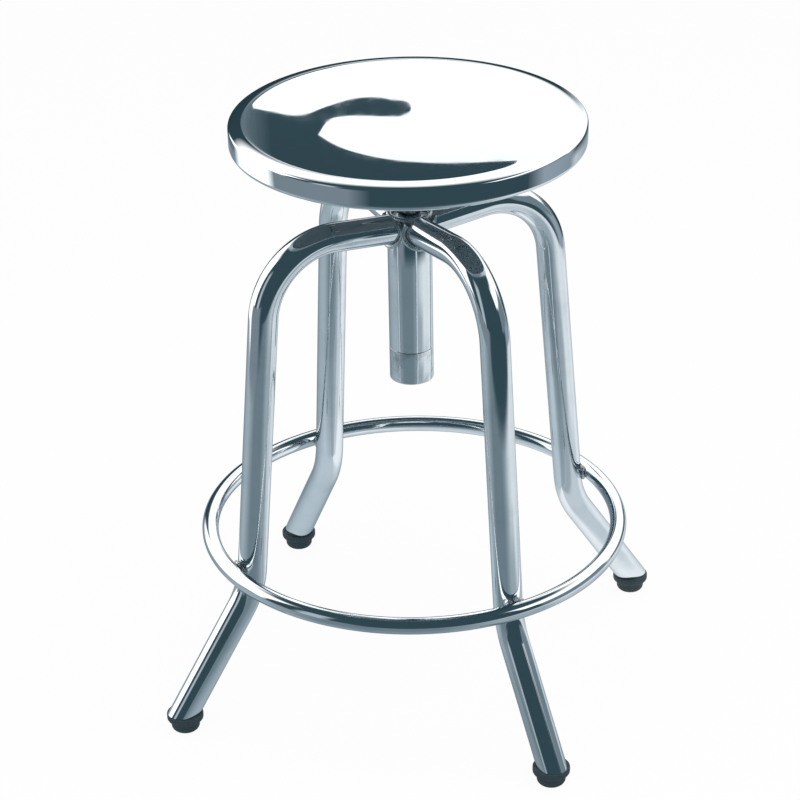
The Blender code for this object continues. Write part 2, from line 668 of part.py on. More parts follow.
def build_rim_weld(parent):
    """The bead on the column's rim that joins the tube, the nut and the arms' ends."""
    radius = COLUMN_RADIUS - HUB_BEAD_RADIUS
    height = COLUMN_TOP + GAP + HUB_BEAD_RADIUS
    path = []
    for k in range(COLUMN_SIDES):
        turn = 2 * math.pi * k / COLUMN_SIDES
        path.append(Vector((radius * math.cos(turn), radius * math.sin(turn), height)))
    rows = bead_rows(path, HUB_BEAD_RADIUS)
    add_object("rim_weld", mesh_from_rows("rim_weld", rows, WELD, ring=True), parent)


# The foot ring and its welds


def centre_line_points():
    """Closely spaced points on the leg's centre line from the knee down."""
    hub, knee, ankle, end = leg_corners()
    stations = [point for point, _ in leg_stations()] + [end]
    points = []
    for start, stop in zip(stations, stations[1:]):
        count = math.ceil((stop - start).length / CENTRE_LINE_SPACING)
        points += [start.lerp(stop, k / count) for k in range(count)]
    return points


def ring_radius():
    """The ring's centre radius: its tube lies against the outside of the legs."""
    apart = LEG_RADIUS + RING_TUBE_RADIUS + GAP
    reaches = []
    for point in centre_line_points():
        rise = point.z - RING_HEIGHT
        if abs(rise) < apart:
            reaches.append(point.x + math.sqrt(apart**2 - rise**2))
    return max(reaches)


def build_foot_ring(parent):
    """The hoop, a bent tube whose butted ends meet behind the back leg."""
    radius = ring_radius()
    half_slit = GAP / 2 / radius
    first = math.pi / 2 + half_slit
    whole = 2 * math.pi - 2 * half_slit
    walls = []
    for tube_radius in (RING_TUBE_RADIUS, RING_TUBE_RADIUS - RING_TUBE_WALL):
        rows = []
        for k in range(RING_STEPS + 1):
            turn = first + whole * k / RING_STEPS
            outward = Vector((math.cos(turn), math.sin(turn), 0))
            centre = outward * radius + Vector((0, 0, RING_HEIGHT))
            rows.append(section(centre, outward, Vector((0, 0, 1)), tube_radius, RING_SIDES))
        walls.append(rows)
    outside, inside = walls
    mesh = mesh_from_rows("foot_ring", outside + inside[::-1], STEEL, ring=True)
    add_object("foot_ring", mesh, parent)


def build_ring_welds(parent):
    """The bead that closes the crevice round each place where the ring touches a leg."""
    radius = ring_radius()
    ring_centre = Vector((radius, 0, RING_HEIGHT))
    nearest = min(centre_line_points(), key=lambda point: (point - ring_centre).length)
    out = (ring_centre - nearest).normalized()
    up = upward(out)
    apart = (ring_centre - nearest).length
    beside_leg = LEG_RADIUS + RING_BEAD_RADIUS + GAP
    beside_ring = RING_TUBE_RADIUS + RING_BEAD_RADIUS + GAP
    axis_offset = radius - apart
    end_x = ((radius - beside_ring) ** 2 - beside_leg**2 - axis_offset**2) / (2 * axis_offset)
    end_y = math.sqrt(beside_leg**2 - end_x**2)
    path = []
    for k in range(BEAD_STEPS):
        turn = 2 * math.pi * k / BEAD_STEPS
        y = end_y * math.sin(turn)
        x = math.sqrt(beside_leg**2 - y**2)
        ring_x = apart - (radius - math.sqrt(radius**2 - y**2))
        rise = math.sqrt(max(beside_ring**2 - (x - ring_x) ** 2, 0))
        path.append(nearest + out * x + Vector((0, y, 0)) + up * math.copysign(rise, math.cos(turn)))
    mesh = mesh_from_rows("ring_weld", bead_rows(path, RING_BEAD_RADIUS), WELD, ring=True)
    for name, turn in leg_turns():
        add_object(f"ring_weld_{name}", mesh, parent, turn)


clear_scene()
frame = axis_empty("frame_origin")
guide = axis_empty("seat_lift_axis", frame)
seat = axis_empty("seat_turn_axis", guide)

build_column_tube(frame)
build_column_cup(frame)
build_spindle_nut(frame)
build_legs(frame)
build_hub_welds(frame)
build_rim_weld(frame)
build_foot_ring(frame)
build_ring_welds(frame)
build_feet(frame)

build_guide_bush(guide)

build_spindle(seat)
build_spindle_weld(seat)
build_end_washer(seat)
build_end_bolt(seat)
build_mounting_plate(seat)
build_plate_screws(seat)
build_seat_board(seat)
build_seat_shell(seat)
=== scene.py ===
"""Looks of a round screw-lift stool, built piece by piece over its solids.

Metres, +Z up. The origin is on the floor, on the column's axis, and the legs lie along +X, +Y, -X and -Y.
The pieces come in the order in which the stool is put together, from the column to the seat.
"""

import math
from functools import partial

import bmesh
import bpy
from mathutils import Matrix, Vector


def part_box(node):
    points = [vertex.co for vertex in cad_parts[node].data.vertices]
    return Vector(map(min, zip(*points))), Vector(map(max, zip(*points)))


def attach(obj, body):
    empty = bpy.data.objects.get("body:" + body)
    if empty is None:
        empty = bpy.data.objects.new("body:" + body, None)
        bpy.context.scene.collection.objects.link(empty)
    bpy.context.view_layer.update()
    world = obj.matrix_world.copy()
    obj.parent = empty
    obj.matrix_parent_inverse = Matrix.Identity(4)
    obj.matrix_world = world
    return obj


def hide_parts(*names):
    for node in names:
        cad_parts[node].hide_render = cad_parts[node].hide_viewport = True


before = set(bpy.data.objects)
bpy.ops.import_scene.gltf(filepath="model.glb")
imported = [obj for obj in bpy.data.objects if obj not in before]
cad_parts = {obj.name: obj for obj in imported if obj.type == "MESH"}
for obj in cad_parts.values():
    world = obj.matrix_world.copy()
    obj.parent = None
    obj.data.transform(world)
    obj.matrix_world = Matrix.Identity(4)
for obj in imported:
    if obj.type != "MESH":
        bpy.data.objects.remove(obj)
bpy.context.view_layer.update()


# The column tube
# Stainless tube with a 2 mm wall, cut square at both ends and mirror polished outside.
# The four arms are welded round its top, and the seat's spindle turns and climbs inside it.

COLUMN_RADIUS = 0.01905
COLUMN_BORE_RADIUS = 0.01705
TUBE_CUT_EDGE = 0.0003
STAINLESS_COLOUR = (0.86, 0.89, 0.91)
STAINLESS_EDGE_TINT = (0.50, 0.54, 0.57)
WORN_TUBE_COLOUR = (0.78, 0.81, 0.83)


def filleted(corners, steps=5):
    """Points (radius, height) along a turned outline, from corners given as (radius, height, fillet)."""
    points = []
    for k, (radius, height, fillet) in enumerate(corners):
        corner = Vector((radius, height))
        if fillet == 0:
            points.append(corner)
            continue
        into = (corner - Vector(corners[k - 1][:2])).normalized()
        out = (Vector(corners[(k + 1) % len(corners)][:2]) - corner).normalized()
        bend = math.atan2(into.x * out.y - into.y * out.x, into.dot(out))
        if abs(bend) < 0.001:
            points.append(corner)
            continue
        centre = corner + (out - into).normalized() * fillet / math.cos(bend / 2)
        start = corner - into * fillet * math.tan(abs(bend) / 2) - centre
        for step in range(steps + 1):
            points.append(centre + Matrix.Rotation(bend * step / steps, 2) @ start)
    return points


def softened(mesh, sharp_deg):
    """Shades a mesh smooth, with the edges that turn more than an angle kept sharp."""
    mesh.shade_smooth()
    mesh.set_sharp_from_angle(angle=math.radians(sharp_deg))
    return mesh


def closed_mesh(name, rows, ring=False, sharp_deg=50):
    """A mesh through rows of (point, along) pairs that go once round, with the length along the piece kept.

    The attribute polish_place holds, for each point, its place across the piece and its length along it.
    """
    shape = bmesh.new()
    place = shape.verts.layers.float_vector.new("polish_place")
    grid = []
    for row, along in rows:
        middle = sum(row, Vector()) / len(row)
        verts = []
        for point in row:
            vert = shape.verts.new(point)
            offset = point - middle
            vert[place] = Vector((offset.x, offset.y, along))
            verts.append(vert)
        grid.append(verts)
    if ring:
        grid.append(grid[0])
    for lower, upper in zip(grid, grid[1:]):
        count = len(lower)
        for k in range(count):
            near = (k + 1) % count
            shape.faces.new((lower[k], lower[near], upper[near], upper[k]))
    bmesh.ops.remove_doubles(shape, verts=shape.verts, dist=1e-6)
    if not ring:
        edges = [edge for edge in shape.edges if edge.is_boundary]
        if edges:
            bmesh.ops.holes_fill(shape, edges=edges, sides=0)
    bmesh.ops.recalc_face_normals(shape, faces=shape.faces)
    if shape.calc_volume(signed=True) < 0:
        bmesh.ops.reverse_faces(shape, faces=shape.faces)
    mesh = bpy.data.meshes.new(name)
    shape.to_mesh(mesh)
    shape.free()
    return softened(mesh, sharp_deg)


def circle_points(radius, height, sides, centre_x=0.0):
    """Points round a level circle."""
    points = []
    for side in range(sides):
        turn = 2 * math.pi * side / sides
        points.append(Vector((centre_x + radius * math.cos(turn), radius * math.sin(turn), height)))
    return points


def turned_mesh(name, outline, ring=True, sides=128, sharp_deg=50):
    """A round piece turned from its outline, a list of points (radius, height)."""
    rows = []
    along = 0.0
    for k, (radius, height) in enumerate(outline):
        if k:
            along += (Vector(outline[k]) - Vector(outline[k - 1])).length
        rows.append((circle_points(radius, height, sides), along))
    return closed_mesh(name, rows, ring, sharp_deg)


def sleeve(bore, radius, low, high, edges):
    """The outline of a sleeve or a disc. Its fillets go from inside the foot round to inside the top."""
    corners = ((bore, low), (radius, low), (radius, high), (bore, high))
    return filleted([(*corner, edge) for corner, edge in zip(corners, edges)])


def placed(name, data):
    """Puts a mesh, curve, lamp or camera in the scene as an object."""
    made = bpy.data.objects.new(name, data)
    bpy.context.scene.collection.objects.link(made)
    return made


def new_piece(name, mesh, material):
    """Puts a mesh in the scene as a piece of its own, with its material."""
    mesh.materials.clear()
    mesh.materials.append(material)
    return placed(name, mesh)


def set_inputs(tree, node, sockets):
    """Links or sets a node's input sockets by name or number."""
    for key, value in sockets.items():
        if isinstance(value, bpy.types.NodeSocket):
            tree.links.new(value, node.inputs[key])
        else:
            node.inputs[key].default_value = value


def add_node(tree, kind, sockets=None, **settings):
    """Adds a node, sets its properties and fills its input sockets."""
    made = tree.nodes.new(kind)
    for key, value in settings.items():
        setattr(made, key, value)
    set_inputs(tree, made, sockets or {})
    return made


def wire(tree, kind, sockets=None, **settings):
    """Adds a node and gives its first output."""
    return add_node(tree, kind, sockets, **settings).outputs[0]


def calc(operation, *values, clamp=False):
    """The output of a Math node on sockets or numbers, in the tree of its first socket."""
    tree = next(value.id_data for value in values if isinstance(value, bpy.types.NodeSocket))
    return wire(tree, "ShaderNodeMath", dict(enumerate(values)), operation=operation, use_clamp=clamp)


plus = partial(calc, "ADD")
minus = partial(calc, "SUBTRACT")
times = partial(calc, "MULTIPLY")
over = partial(calc, "DIVIDE")


def noise(place, scale, detail, rough=0.5, distortion=0.0):
    """Noise at a place."""
    sockets = {"Vector": place, "Scale": scale, "Detail": detail, "Roughness": rough}
    return wire(place.id_data, "ShaderNodeTexNoise", {**sockets, "Distortion": distortion})


def mapped(value, low=0.0, high=1.0, to=(0.0, 1.0)):
    """A value's place between two others, laid over a range and held inside it."""
    sockets = {"Value": value, "From Min": low, "From Max": high, "To Min": to[0], "To Max": to[1]}
    return wire(value.id_data, "ShaderNodeMapRange", sockets)


def stretched(place, by):
    """A place multiplied along each axis."""
    return wire(place.id_data, "ShaderNodeVectorMath", {0: place, 1: by}, operation="MULTIPLY")


def mixed(factor, plain, other):
    """One colour laid over another by a factor. A colour is a socket or three numbers."""
    colours = [tone if isinstance(tone, bpy.types.NodeSocket) else (*tone, 1.0) for tone in (plain, other)]
    sockets = {"Factor": factor, "A": colours[0], "B": colours[1]}
    return add_node(factor.id_data, "ShaderNodeMix", sockets, data_type="RGBA").outputs["Result"]


def new_group(name, kind, inputs, outputs):
    """A node group, its inputs and its end. An input is its first value, or the kind of its socket."""
    tree = bpy.data.node_groups.new(name, kind)
    for label, value in inputs.items():
        socket_type = value if isinstance(value, str) else type(value).__name__.title()
        socket = tree.interface.new_socket(label, in_out="INPUT", socket_type="NodeSocket" + socket_type)
        if socket_type != value:
            socket.default_value = value
    for label, socket_type in outputs.items():
        tree.interface.new_socket(label, in_out="OUTPUT", socket_type="NodeSocket" + socket_type)
    return tree, tree.nodes.new("NodeGroupInput").outputs, tree.nodes.new("NodeGroupOutput")


def grouped(tree, group, sockets):
    """The outputs of a node group put into a tree."""
    return add_node(tree, "ShaderNodeGroup", sockets, node_tree=group).outputs


def new_material(name, colour, metallic, roughness, more=None):
    """A material with its plain values on the Principled BSDF's own sockets, and its tree."""
    material = bpy.data.materials.new(name)
    material.use_nodes = True
    tree = material.node_tree
    sockets = {"Base Color": (*colour, 1.0), "Metallic": metallic, "Roughness": roughness, **(more or {})}
    set_inputs(tree, tree.nodes["Principled BSDF"], sockets)
    return material, tree


def surfaced(material, colour, rough, relief, depth=1.0):
    """Links a material's colour, roughness and relief to its shader."""
    tree = material.node_tree
    height = times(relief, depth)
    bump = wire(tree, "ShaderNodeBump", {"Height": height, "Distance": 1.0})
    sockets = {"Base Color": colour, "Roughness": rough, "Normal": bump}
    set_inputs(tree, tree.nodes["Principled BSDF"], sockets)
    return material


def polish_marks_group():
    """Fine marks round a polished piece, hazy patches, and the slight waviness of its surface."""
    tree, get, result = new_group("polish_marks", "ShaderNodeTree", {
        "Place": "Vector",
        "Clear Roughness": 0.04,
        "Hazy Roughness": 0.14,
        "Mark Depth": 4e-7,
        "Wave Depth": 1e-5,
        "Wave Size": 0.03,
    }, {"Roughness": "Float", "Height": "Float", "Haze": "Float"})
    marks = noise(stretched(get["Place"], (40, 40, 1400)), 1, 3)
    hazy = mapped(noise(get["Place"], 38, 6, 0.62), 0.46, 0.72)
    waves = noise(get["Place"], over(1.0, get["Wave Size"]), 1)
    mark_height = times(marks, get["Mark Depth"])
    wave_height = times(waves, get["Wave Depth"])
    set_inputs(tree, result, {
        "Roughness": mapped(hazy, to=(get["Clear Roughness"], get["Hazy Roughness"])),
        "Height": plus(mark_height, wave_height),
        "Haze": hazy,
    })
    return tree


polish_marks = polish_marks_group()


def polished_stainless(name, worn_colour, clear, hazy, mark_depth, wave_depth, wave_size):
    """Mirror-polished stainless steel, a little duller where it has been handled and wiped."""
    tint = {"Specular Tint": (*STAINLESS_EDGE_TINT, 1.0)}
    material, tree = new_material(name, STAINLESS_COLOUR, 1.0, 0.06, tint)
    marks = grouped(tree, polish_marks, {
        "Place": add_node(tree, "ShaderNodeAttribute", attribute_name="polish_place").outputs["Vector"],
        "Clear Roughness": clear,
        "Hazy Roughness": hazy,
        "Mark Depth": mark_depth,
        "Wave Depth": wave_depth,
        "Wave Size": wave_size,
    })
    worn = mixed(marks["Haze"], STAINLESS_COLOUR, worn_colour)
    return surfaced(material, worn, marks["Roughness"], marks["Height"])


tube_steel = polished_stainless(
    "polished_tube_steel", WORN_TUBE_COLOUR,
    clear=0.06, hazy=0.12, mark_depth=3e-7, wave_depth=1e-5, wave_size=0.022,
)
column_foot, column_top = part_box("column_tube")

outline = sleeve(COLUMN_BORE_RADIUS, COLUMN_RADIUS, column_foot.z, column_top.z, [TUBE_CUT_EDGE] * 4)
column = new_piece("column", turned_mesh("column", outline), tube_steel)
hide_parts("column_tube")
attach(column, "frame")


# The end cup
# A drawn stainless cup with the tube's own diameter, butted on the column's lower end and polished with it.
# Its polish is hazier than the tube's and much darker in patches, and a fine dark joint shows where the two
# meet.

CUP_FLOOR = 0.0025
CUP_EDGE = 0.0012
CUP_JOINT_EDGE = 0.0003
DARK_CUP_PATCH_COLOUR = (0.34, 0.38, 0.41)

cup_low, cup_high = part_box("column_end_cup")
outline = filleted([
    (0, cup_low.z, 0),
    (COLUMN_RADIUS, cup_low.z, CUP_EDGE),
    (COLUMN_RADIUS, cup_high.z, CUP_JOINT_EDGE),
    (COLUMN_BORE_RADIUS, cup_high.z, CUP_JOINT_EDGE),
    (COLUMN_BORE_RADIUS, cup_low.z + CUP_FLOOR, CUP_EDGE),
    (0, cup_low.z + CUP_FLOOR, 0),
])
cup_steel = polished_stainless(
    "dark_hazy_cup_steel", DARK_CUP_PATCH_COLOUR,
    clear=0.13, hazy=0.30, mark_depth=6e-7, wave_depth=2.4e-5, wave_size=0.008,
)
cup = new_piece("end_cup", turned_mesh("end_cup", outline, ring=False), cup_steel)
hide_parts("column_end_cup")
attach(cup, "frame")


# The spindle nut
# A round steel nut with a coarse trapezoidal thread, turned to the column's bore and pressed into its top.
# The spindle's thread runs in it, so both threads come from one node tree.

THREAD_PITCH = 0.006
THREAD_CREST_RADIUS = 0.0094
THREAD_ROOT_RADIUS = 0.0073
THREAD_PLAY = 0.0004
THREAD_TOOTH_WIDTH = 0.0027
THREAD_FLANK_DEG = 15.0
THREAD_EDGE = 0.00025
MACHINED_COLOUR = (0.80, 0.86, 0.90)
OILED_COLOUR = (0.50, 0.57, 0.62)
MACHINED_ROUGHNESS = (0.15, 0.30)


def parts_of(vector):
    """The three parts of a vector."""
    return add_node(vector.id_data, "ShaderNodeSeparateXYZ", {0: vector}).outputs


def line_noise(along, detail):
    """Noise along a line."""
    return wire(along.id_data, "ShaderNodeTexNoise", {"W": along, "Detail": detail}, noise_dimensions="1D")


def geometry_group(name, inputs):
    """A node group that takes a host mesh and gives a piece with its material."""
    inputs = {"Geometry": "Geometry", **inputs, "Material": "Material"}
    return new_group(name, "GeometryNodeTree", inputs, {"Geometry": "Geometry"})


def end_tree(tree, result, geometry, material):
    """Ends a tree with its geometry, made real and given its material."""
    real = wire(tree, "GeometryNodeRealizeInstances", {"Geometry": geometry})
    finished = wire(tree, "GeometryNodeSetMaterial", {"Geometry": real, "Material": material})
    tree.links.new(finished, result.inputs[0])
    return tree


def thread_tree():
    """Wraps a grid into a threaded solid between two heights, with flat ends closed at the end radius."""
    tree, get, result = geometry_group("cut_thread", {
        "Pitch": THREAD_PITCH,
        "Crest Radius": THREAD_CREST_RADIUS,
        "Root Radius": THREAD_ROOT_RADIUS,
        "Middle Width": THREAD_TOOTH_WIDTH,
        "Flank Slope": 1 / math.tan(math.radians(THREAD_FLANK_DEG)),
        "Edge": THREAD_EDGE,
        "Bottom": 0.0,
        "Top": 0.1,
        "End Radius": 0.0,
        "Rows": 100,
        "Sides": 48,
    })
    columns = plus(get["Sides"], 1.0)
    grid = wire(tree, "GeometryNodeMeshGrid", {"Vertices X": columns, "Vertices Y": get["Rows"]})
    position = parts_of(wire(tree, "GeometryNodeInputPosition"))
    share = plus(position[0], 0.5)
    last = minus(get["Rows"], 1.0)
    row = calc("ROUND", times(plus(position[1], 0.5), last))
    start = minus(get["Bottom"], get["Pitch"])
    span = plus(minus(get["Top"], get["Bottom"]), get["Pitch"])
    step = over(span, minus(get["Rows"], 5.0))
    climb = times(share, get["Pitch"])
    raw = plus(plus(start, times(minus(row, 1.0), step)), climb)
    height = calc("MINIMUM", calc("MAXIMUM", raw, get["Bottom"]), get["Top"])
    half_pitch = over(get["Pitch"], 2.0)
    back = times(half_pitch, -1.0)
    off_tooth = calc("ABSOLUTE", calc("WRAP", minus(height, climb), half_pitch, back))
    middle = over(plus(get["Crest Radius"], get["Root Radius"]), 2.0)
    inside_tooth = minus(over(get["Middle Width"], 2.0), off_tooth)
    rise = times(inside_tooth, get["Flank Slope"])
    crested = calc("SMOOTH_MIN", plus(middle, rise), get["Crest Radius"], get["Edge"])
    radius = calc("SMOOTH_MAX", crested, get["Root Radius"], get["Edge"])
    first_row = calc("COMPARE", row, 0.0, 0.1)
    top_row = calc("COMPARE", row, minus(last, 1.0), 0.1)
    close_row = calc("COMPARE", row, last, 0.1)
    ends = plus(plus(first_row, top_row), close_row)
    at_bottom = plus(first_row, close_row)

    def choose(switch, plain, other):
        return wire(tree, "ShaderNodeMix", {"Factor": switch, "A": plain, "B": other}, data_type="FLOAT")

    radius = choose(ends, radius, get["End Radius"])
    turn = times(share, 2 * math.pi)
    place = wire(tree, "ShaderNodeCombineXYZ", {
        0: times(radius, calc("COSINE", turn)),
        1: times(radius, calc("SINE", turn)),
        2: choose(at_bottom, choose(top_row, height, get["Top"]), get["Bottom"]),
    })
    wrapped = wire(tree, "GeometryNodeSetPosition", {"Geometry": grid, "Position": place})
    merged = wire(tree, "GeometryNodeMergeByDistance", {"Geometry": wrapped, "Distance": 1e-6})
    return end_tree(tree, result, merged, get["Material"])


def baked(piece, sharp_deg):
    """Gives a piece the mesh that its modifiers make, clears them and marks its sharp edges."""
    depsgraph = bpy.context.evaluated_depsgraph_get()
    mesh = bpy.data.meshes.new_from_object(
        piece.evaluated_get(depsgraph), preserve_all_data_layers=True, depsgraph=depsgraph
    )
    piece.modifiers.clear()
    piece.data = softened(mesh, sharp_deg)
    return piece


def shaped_by(tree, name, host, settings, sharp_deg=50, merge=True):
    """Runs a node tree on a host mesh and returns the result as a plain mesh with its faces outwards."""
    piece = placed(name, host)
    modifier = piece.modifiers.new(name, "NODES")
    modifier.node_group = tree
    for label, value in settings.items():
        modifier[tree.interface.items_tree[label].identifier] = value
    mesh = baked(piece, sharp_deg).data
    shape = bmesh.new()
    shape.from_mesh(mesh)
    if merge:
        bmesh.ops.remove_doubles(shape, verts=shape.verts, dist=1e-6)
    bmesh.ops.recalc_face_normals(shape, faces=shape.faces)
    shape.to_mesh(mesh)
    shape.free()
    softened(mesh, sharp_deg)
    return piece


def object_place(tree, output="Object"):
    """A point's place on its piece, or another texture coordinate."""
    return add_node(tree, "ShaderNodeTexCoord").outputs[output]


def turning_marks_group():
    """Fine rings left by the lathe on a piece that is round about the column's axis, with oil stains."""
    inputs = {"Ring Depth": 1.5e-6, "Stain Size": 0.02}
    outputs = {"Stain": "Float", "Height": "Float"}
    tree, get, result = new_group("turning_marks", "ShaderNodeTree", inputs, outputs)
    place = object_place(tree)
    x, y, z = parts_of(place)
    across = calc("SQRT", plus(times(x, x), times(y, y)))
    rings = line_noise(times(plus(across, z), 2600.0), 3)
    stain = noise(place, over(1.0, get["Stain Size"]), 5, 0.6)
    height = times(rings, get["Ring Depth"])
    set_inputs(tree, result, {"Stain": mapped(stain, 0.42, 0.68), "Height": height})
    return tree


turning_marks = turning_marks_group()


def machined_steel():
    """Turned steel with a film of oil, darker where the oil has gathered."""
    material, tree = new_material("machined_steel", MACHINED_COLOUR, 1.0, 0.28)
    marks = grouped(tree, turning_marks, {"Ring Depth": 1.6e-6, "Stain Size": 0.018})
    colour = mixed(marks["Stain"], MACHINED_COLOUR, OILED_COLOUR)
    return surfaced(material, colour, mapped(marks["Stain"], to=MACHINED_ROUGHNESS), marks["Height"])


machined = machined_steel()
cut_thread = thread_tree()
nut_low, nut_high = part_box("spindle_nut")
nut = shaped_by(cut_thread, "nut", bpy.data.meshes.new("nut"), {
    "Crest Radius": THREAD_CREST_RADIUS + THREAD_PLAY,
    "Root Radius": THREAD_ROOT_RADIUS + THREAD_PLAY,
    "Middle Width": THREAD_PITCH - THREAD_TOOTH_WIDTH,
    "Bottom": nut_low.z,
    "Top": nut_high.z,
    "End Radius": nut_high.x,
    "Rows": 92,
    "Sides": 64,
    "Material": machined,
})
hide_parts("spindle_nut")
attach(nut, "frame")


# The four legs
# Each is one length of stainless tube, bent at the knee and at the ankle and mirror polished.
# Its arm is coped to the column and welded to it, and its lower end is cut level for the rubber foot.

LEG_RADIUS = 0.0127
LEG_WALL = 0.0015
ARM_HEIGHT = 0.4283
LEG_LEAN = math.radians(5.0)
KNEE_REACH = 0.1353
KNEE_BEND = 0.064
ANKLE_HEIGHT = 0.1215
ANKLE_BEND = 0.080
FOOT_CIRCLE = 0.2330
WELD_GAP = 0.0003


def turned_copies(geometry, count):
    """Copies of the geometry turned round the column's axis."""
    tree = geometry.id_data
    line = wire(tree, "GeometryNodeMeshLine", {"Count": count, "Offset": (0, 0, 0)}, mode="OFFSET")
    step = over(2 * math.pi, count)
    turn = times(wire(tree, "GeometryNodeInputIndex"), step)
    rotation = wire(tree, "ShaderNodeCombineXYZ", {2: turn})
    sockets = {"Points": line, "Instance": geometry, "Rotation": rotation}
    return wire(tree, "GeometryNodeInstanceOnPoints", sockets)


def kept(tree, name, kind="FLOAT"):
    """A value that the points hold under a name."""
    return wire(tree, "GeometryNodeInputNamedAttribute", {"Name": name}, data_type=kind)


def keep(geometry, name, value, kind="FLOAT"):
    """Gives the points a value to hold under a name."""
    sockets = {"Geometry": geometry, "Name": name, "Value": value}
    return wire(geometry.id_data, "GeometryNodeStoreNamedAttribute", sockets, data_type=kind, domain="POINT")


def circle(tree, sides, radius):
    """A circle, for a hoop's line or for the section of a tube or bead."""
    sockets = {"Resolution": sides, "Radius": radius}
    return wire(tree, "GeometryNodeCurvePrimitiveCircle", sockets, mode="RADIUS")


def polished_tube(curve, sides, radius):
    """A tube along a curve. Its points hold their place across it and their length along it."""
    tree = curve.id_data
    length = add_node(tree, "GeometryNodeSplineParameter").outputs["Length"]
    section = wire(tree, "GeometryNodeInputPosition")
    tube = wire(tree, "GeometryNodeCurveToMesh", {
        "Curve": keep(curve, "tube_length", length),
        "Profile Curve": keep(circle(tree, sides, radius), "across", section, "FLOAT_VECTOR"),
    })
    across = parts_of(kept(tree, "across", "FLOAT_VECTOR"))
    place = wire(tree, "ShaderNodeCombineXYZ", {0: across[0], 1: across[1], 2: kept(tree, "tube_length")})
    return keep(tube, "polish_place", place, "FLOAT_VECTOR")


def leg_tree():
    """Bends a tube along the host's corner points, copes and trims its ends, and sets the legs round."""
    tree, get, result = geometry_group("bent_legs", {
        "Tube Radius": LEG_RADIUS,
        "Tube Sides": 64,
        "Bend Steps": 40,
        "Arm Direction": "Vector",
        "Splay Direction": "Vector",
        "Cope Radius": COLUMN_RADIUS + WELD_GAP,
        "Cut Height": 0.0,
        "Count": 4,
    })

    def slid(geometry, chosen, direction, run):
        shift = wire(tree, "ShaderNodeVectorMath", {0: direction, "Scale": run}, operation="SCALE")
        sockets = {"Geometry": geometry, "Selection": chosen, "Offset": shift}
        return wire(tree, "GeometryNodeSetPosition", sockets)

    bent = wire(tree, "GeometryNodeFilletCurve", {
        "Curve": wire(tree, "GeometryNodeMeshToCurve", {"Mesh": get["Geometry"]}),
        "Radius": kept(tree, "bend_radius"),
        "Count": get["Bend Steps"],
        "Limit Radius": True,
    }, mode="POLY")
    factor = add_node(tree, "GeometryNodeSplineParameter").outputs["Factor"]
    line = keep(bent, "tube_share", factor)
    tube = polished_tube(line, get["Tube Sides"], get["Tube Radius"])
    share = kept(tree, "tube_share")
    point = parts_of(wire(tree, "GeometryNodeInputPosition"))
    arm, splay = get["Arm Direction"], get["Splay Direction"]
    square = minus(calc("POWER", get["Cope Radius"], 2.0), calc("POWER", point[1], 2.0))
    reach = calc("SQRT", calc("MAXIMUM", square, 0.0))
    cope_run = over(minus(reach, point[0]), parts_of(arm)[0])
    cut_run = over(minus(get["Cut Height"], point[2]), parts_of(splay)[2])
    coped = slid(tube, calc("LESS_THAN", share, 1e-4), arm, cope_run)
    trimmed = slid(coped, calc("GREATER_THAN", share, 0.9999), splay, cut_run)
    return end_tree(tree, result, turned_copies(trimmed, get["Count"]), get["Material"])


leg_low, leg_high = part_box("leg_right")
hub = Vector((0, 0, ARM_HEIGHT))
knee = Vector((KNEE_REACH, 0, ARM_HEIGHT + KNEE_REACH * math.tan(LEG_LEAN)))
ankle = Vector((knee.x + (knee.z - ANKLE_HEIGHT) * math.tan(LEG_LEAN), 0, ANKLE_HEIGHT))
leg_end = Vector((FOOT_CIRCLE, 0, leg_low.z))
arm_direction = (knee - hub).normalized()
splay_direction = (leg_end - ankle).normalized()

leg_line = bpy.data.meshes.new("leg_line")
leg_line.from_pydata([hub, knee, ankle, leg_end], [(0, 1), (1, 2), (2, 3)], [])
bend_radius = leg_line.attributes.new("bend_radius", "FLOAT", "POINT")
bend_radius.data.foreach_set("value", [0.0, KNEE_BEND, ANKLE_BEND, 0.0])

legs = shaped_by(leg_tree(), "legs", leg_line, {
    "Arm Direction": arm_direction,
    "Splay Direction": splay_direction,
    "Cut Height": leg_low.z,
    "Material": tube_steel,
}, merge=False)
wall = legs.modifiers.new("wall", "SOLIDIFY")
wall.thickness = LEG_WALL
wall.offset = -1
wall.use_even_offset = True
baked(legs, 50)
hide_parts("leg_right", "leg_back", "leg_left", "leg_front")
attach(legs, "frame")


# The hub welds
# A bead runs under and up both sides of each arm, and another joins the column's rim, the nut and the arms.
# They are left as welded, with fine ripples, and only wire brushed.

HUB_BEAD_RADIUS = 0.0016
HUB_BEAD_SWELL = 0.0004
HUB_PATH_STEPS = 48
WELD_COLOUR = (0.48, 0.50, 0.52)
WELD_DARK_COLOUR = (0.42, 0.45, 0.47)
WELD_BRIGHT_COLOUR = (0.76, 0.78, 0.79)
WELD_ROUGHNESS = (0.14, 0.34)
WELD_GRAIN_DEPTH = 6e-6


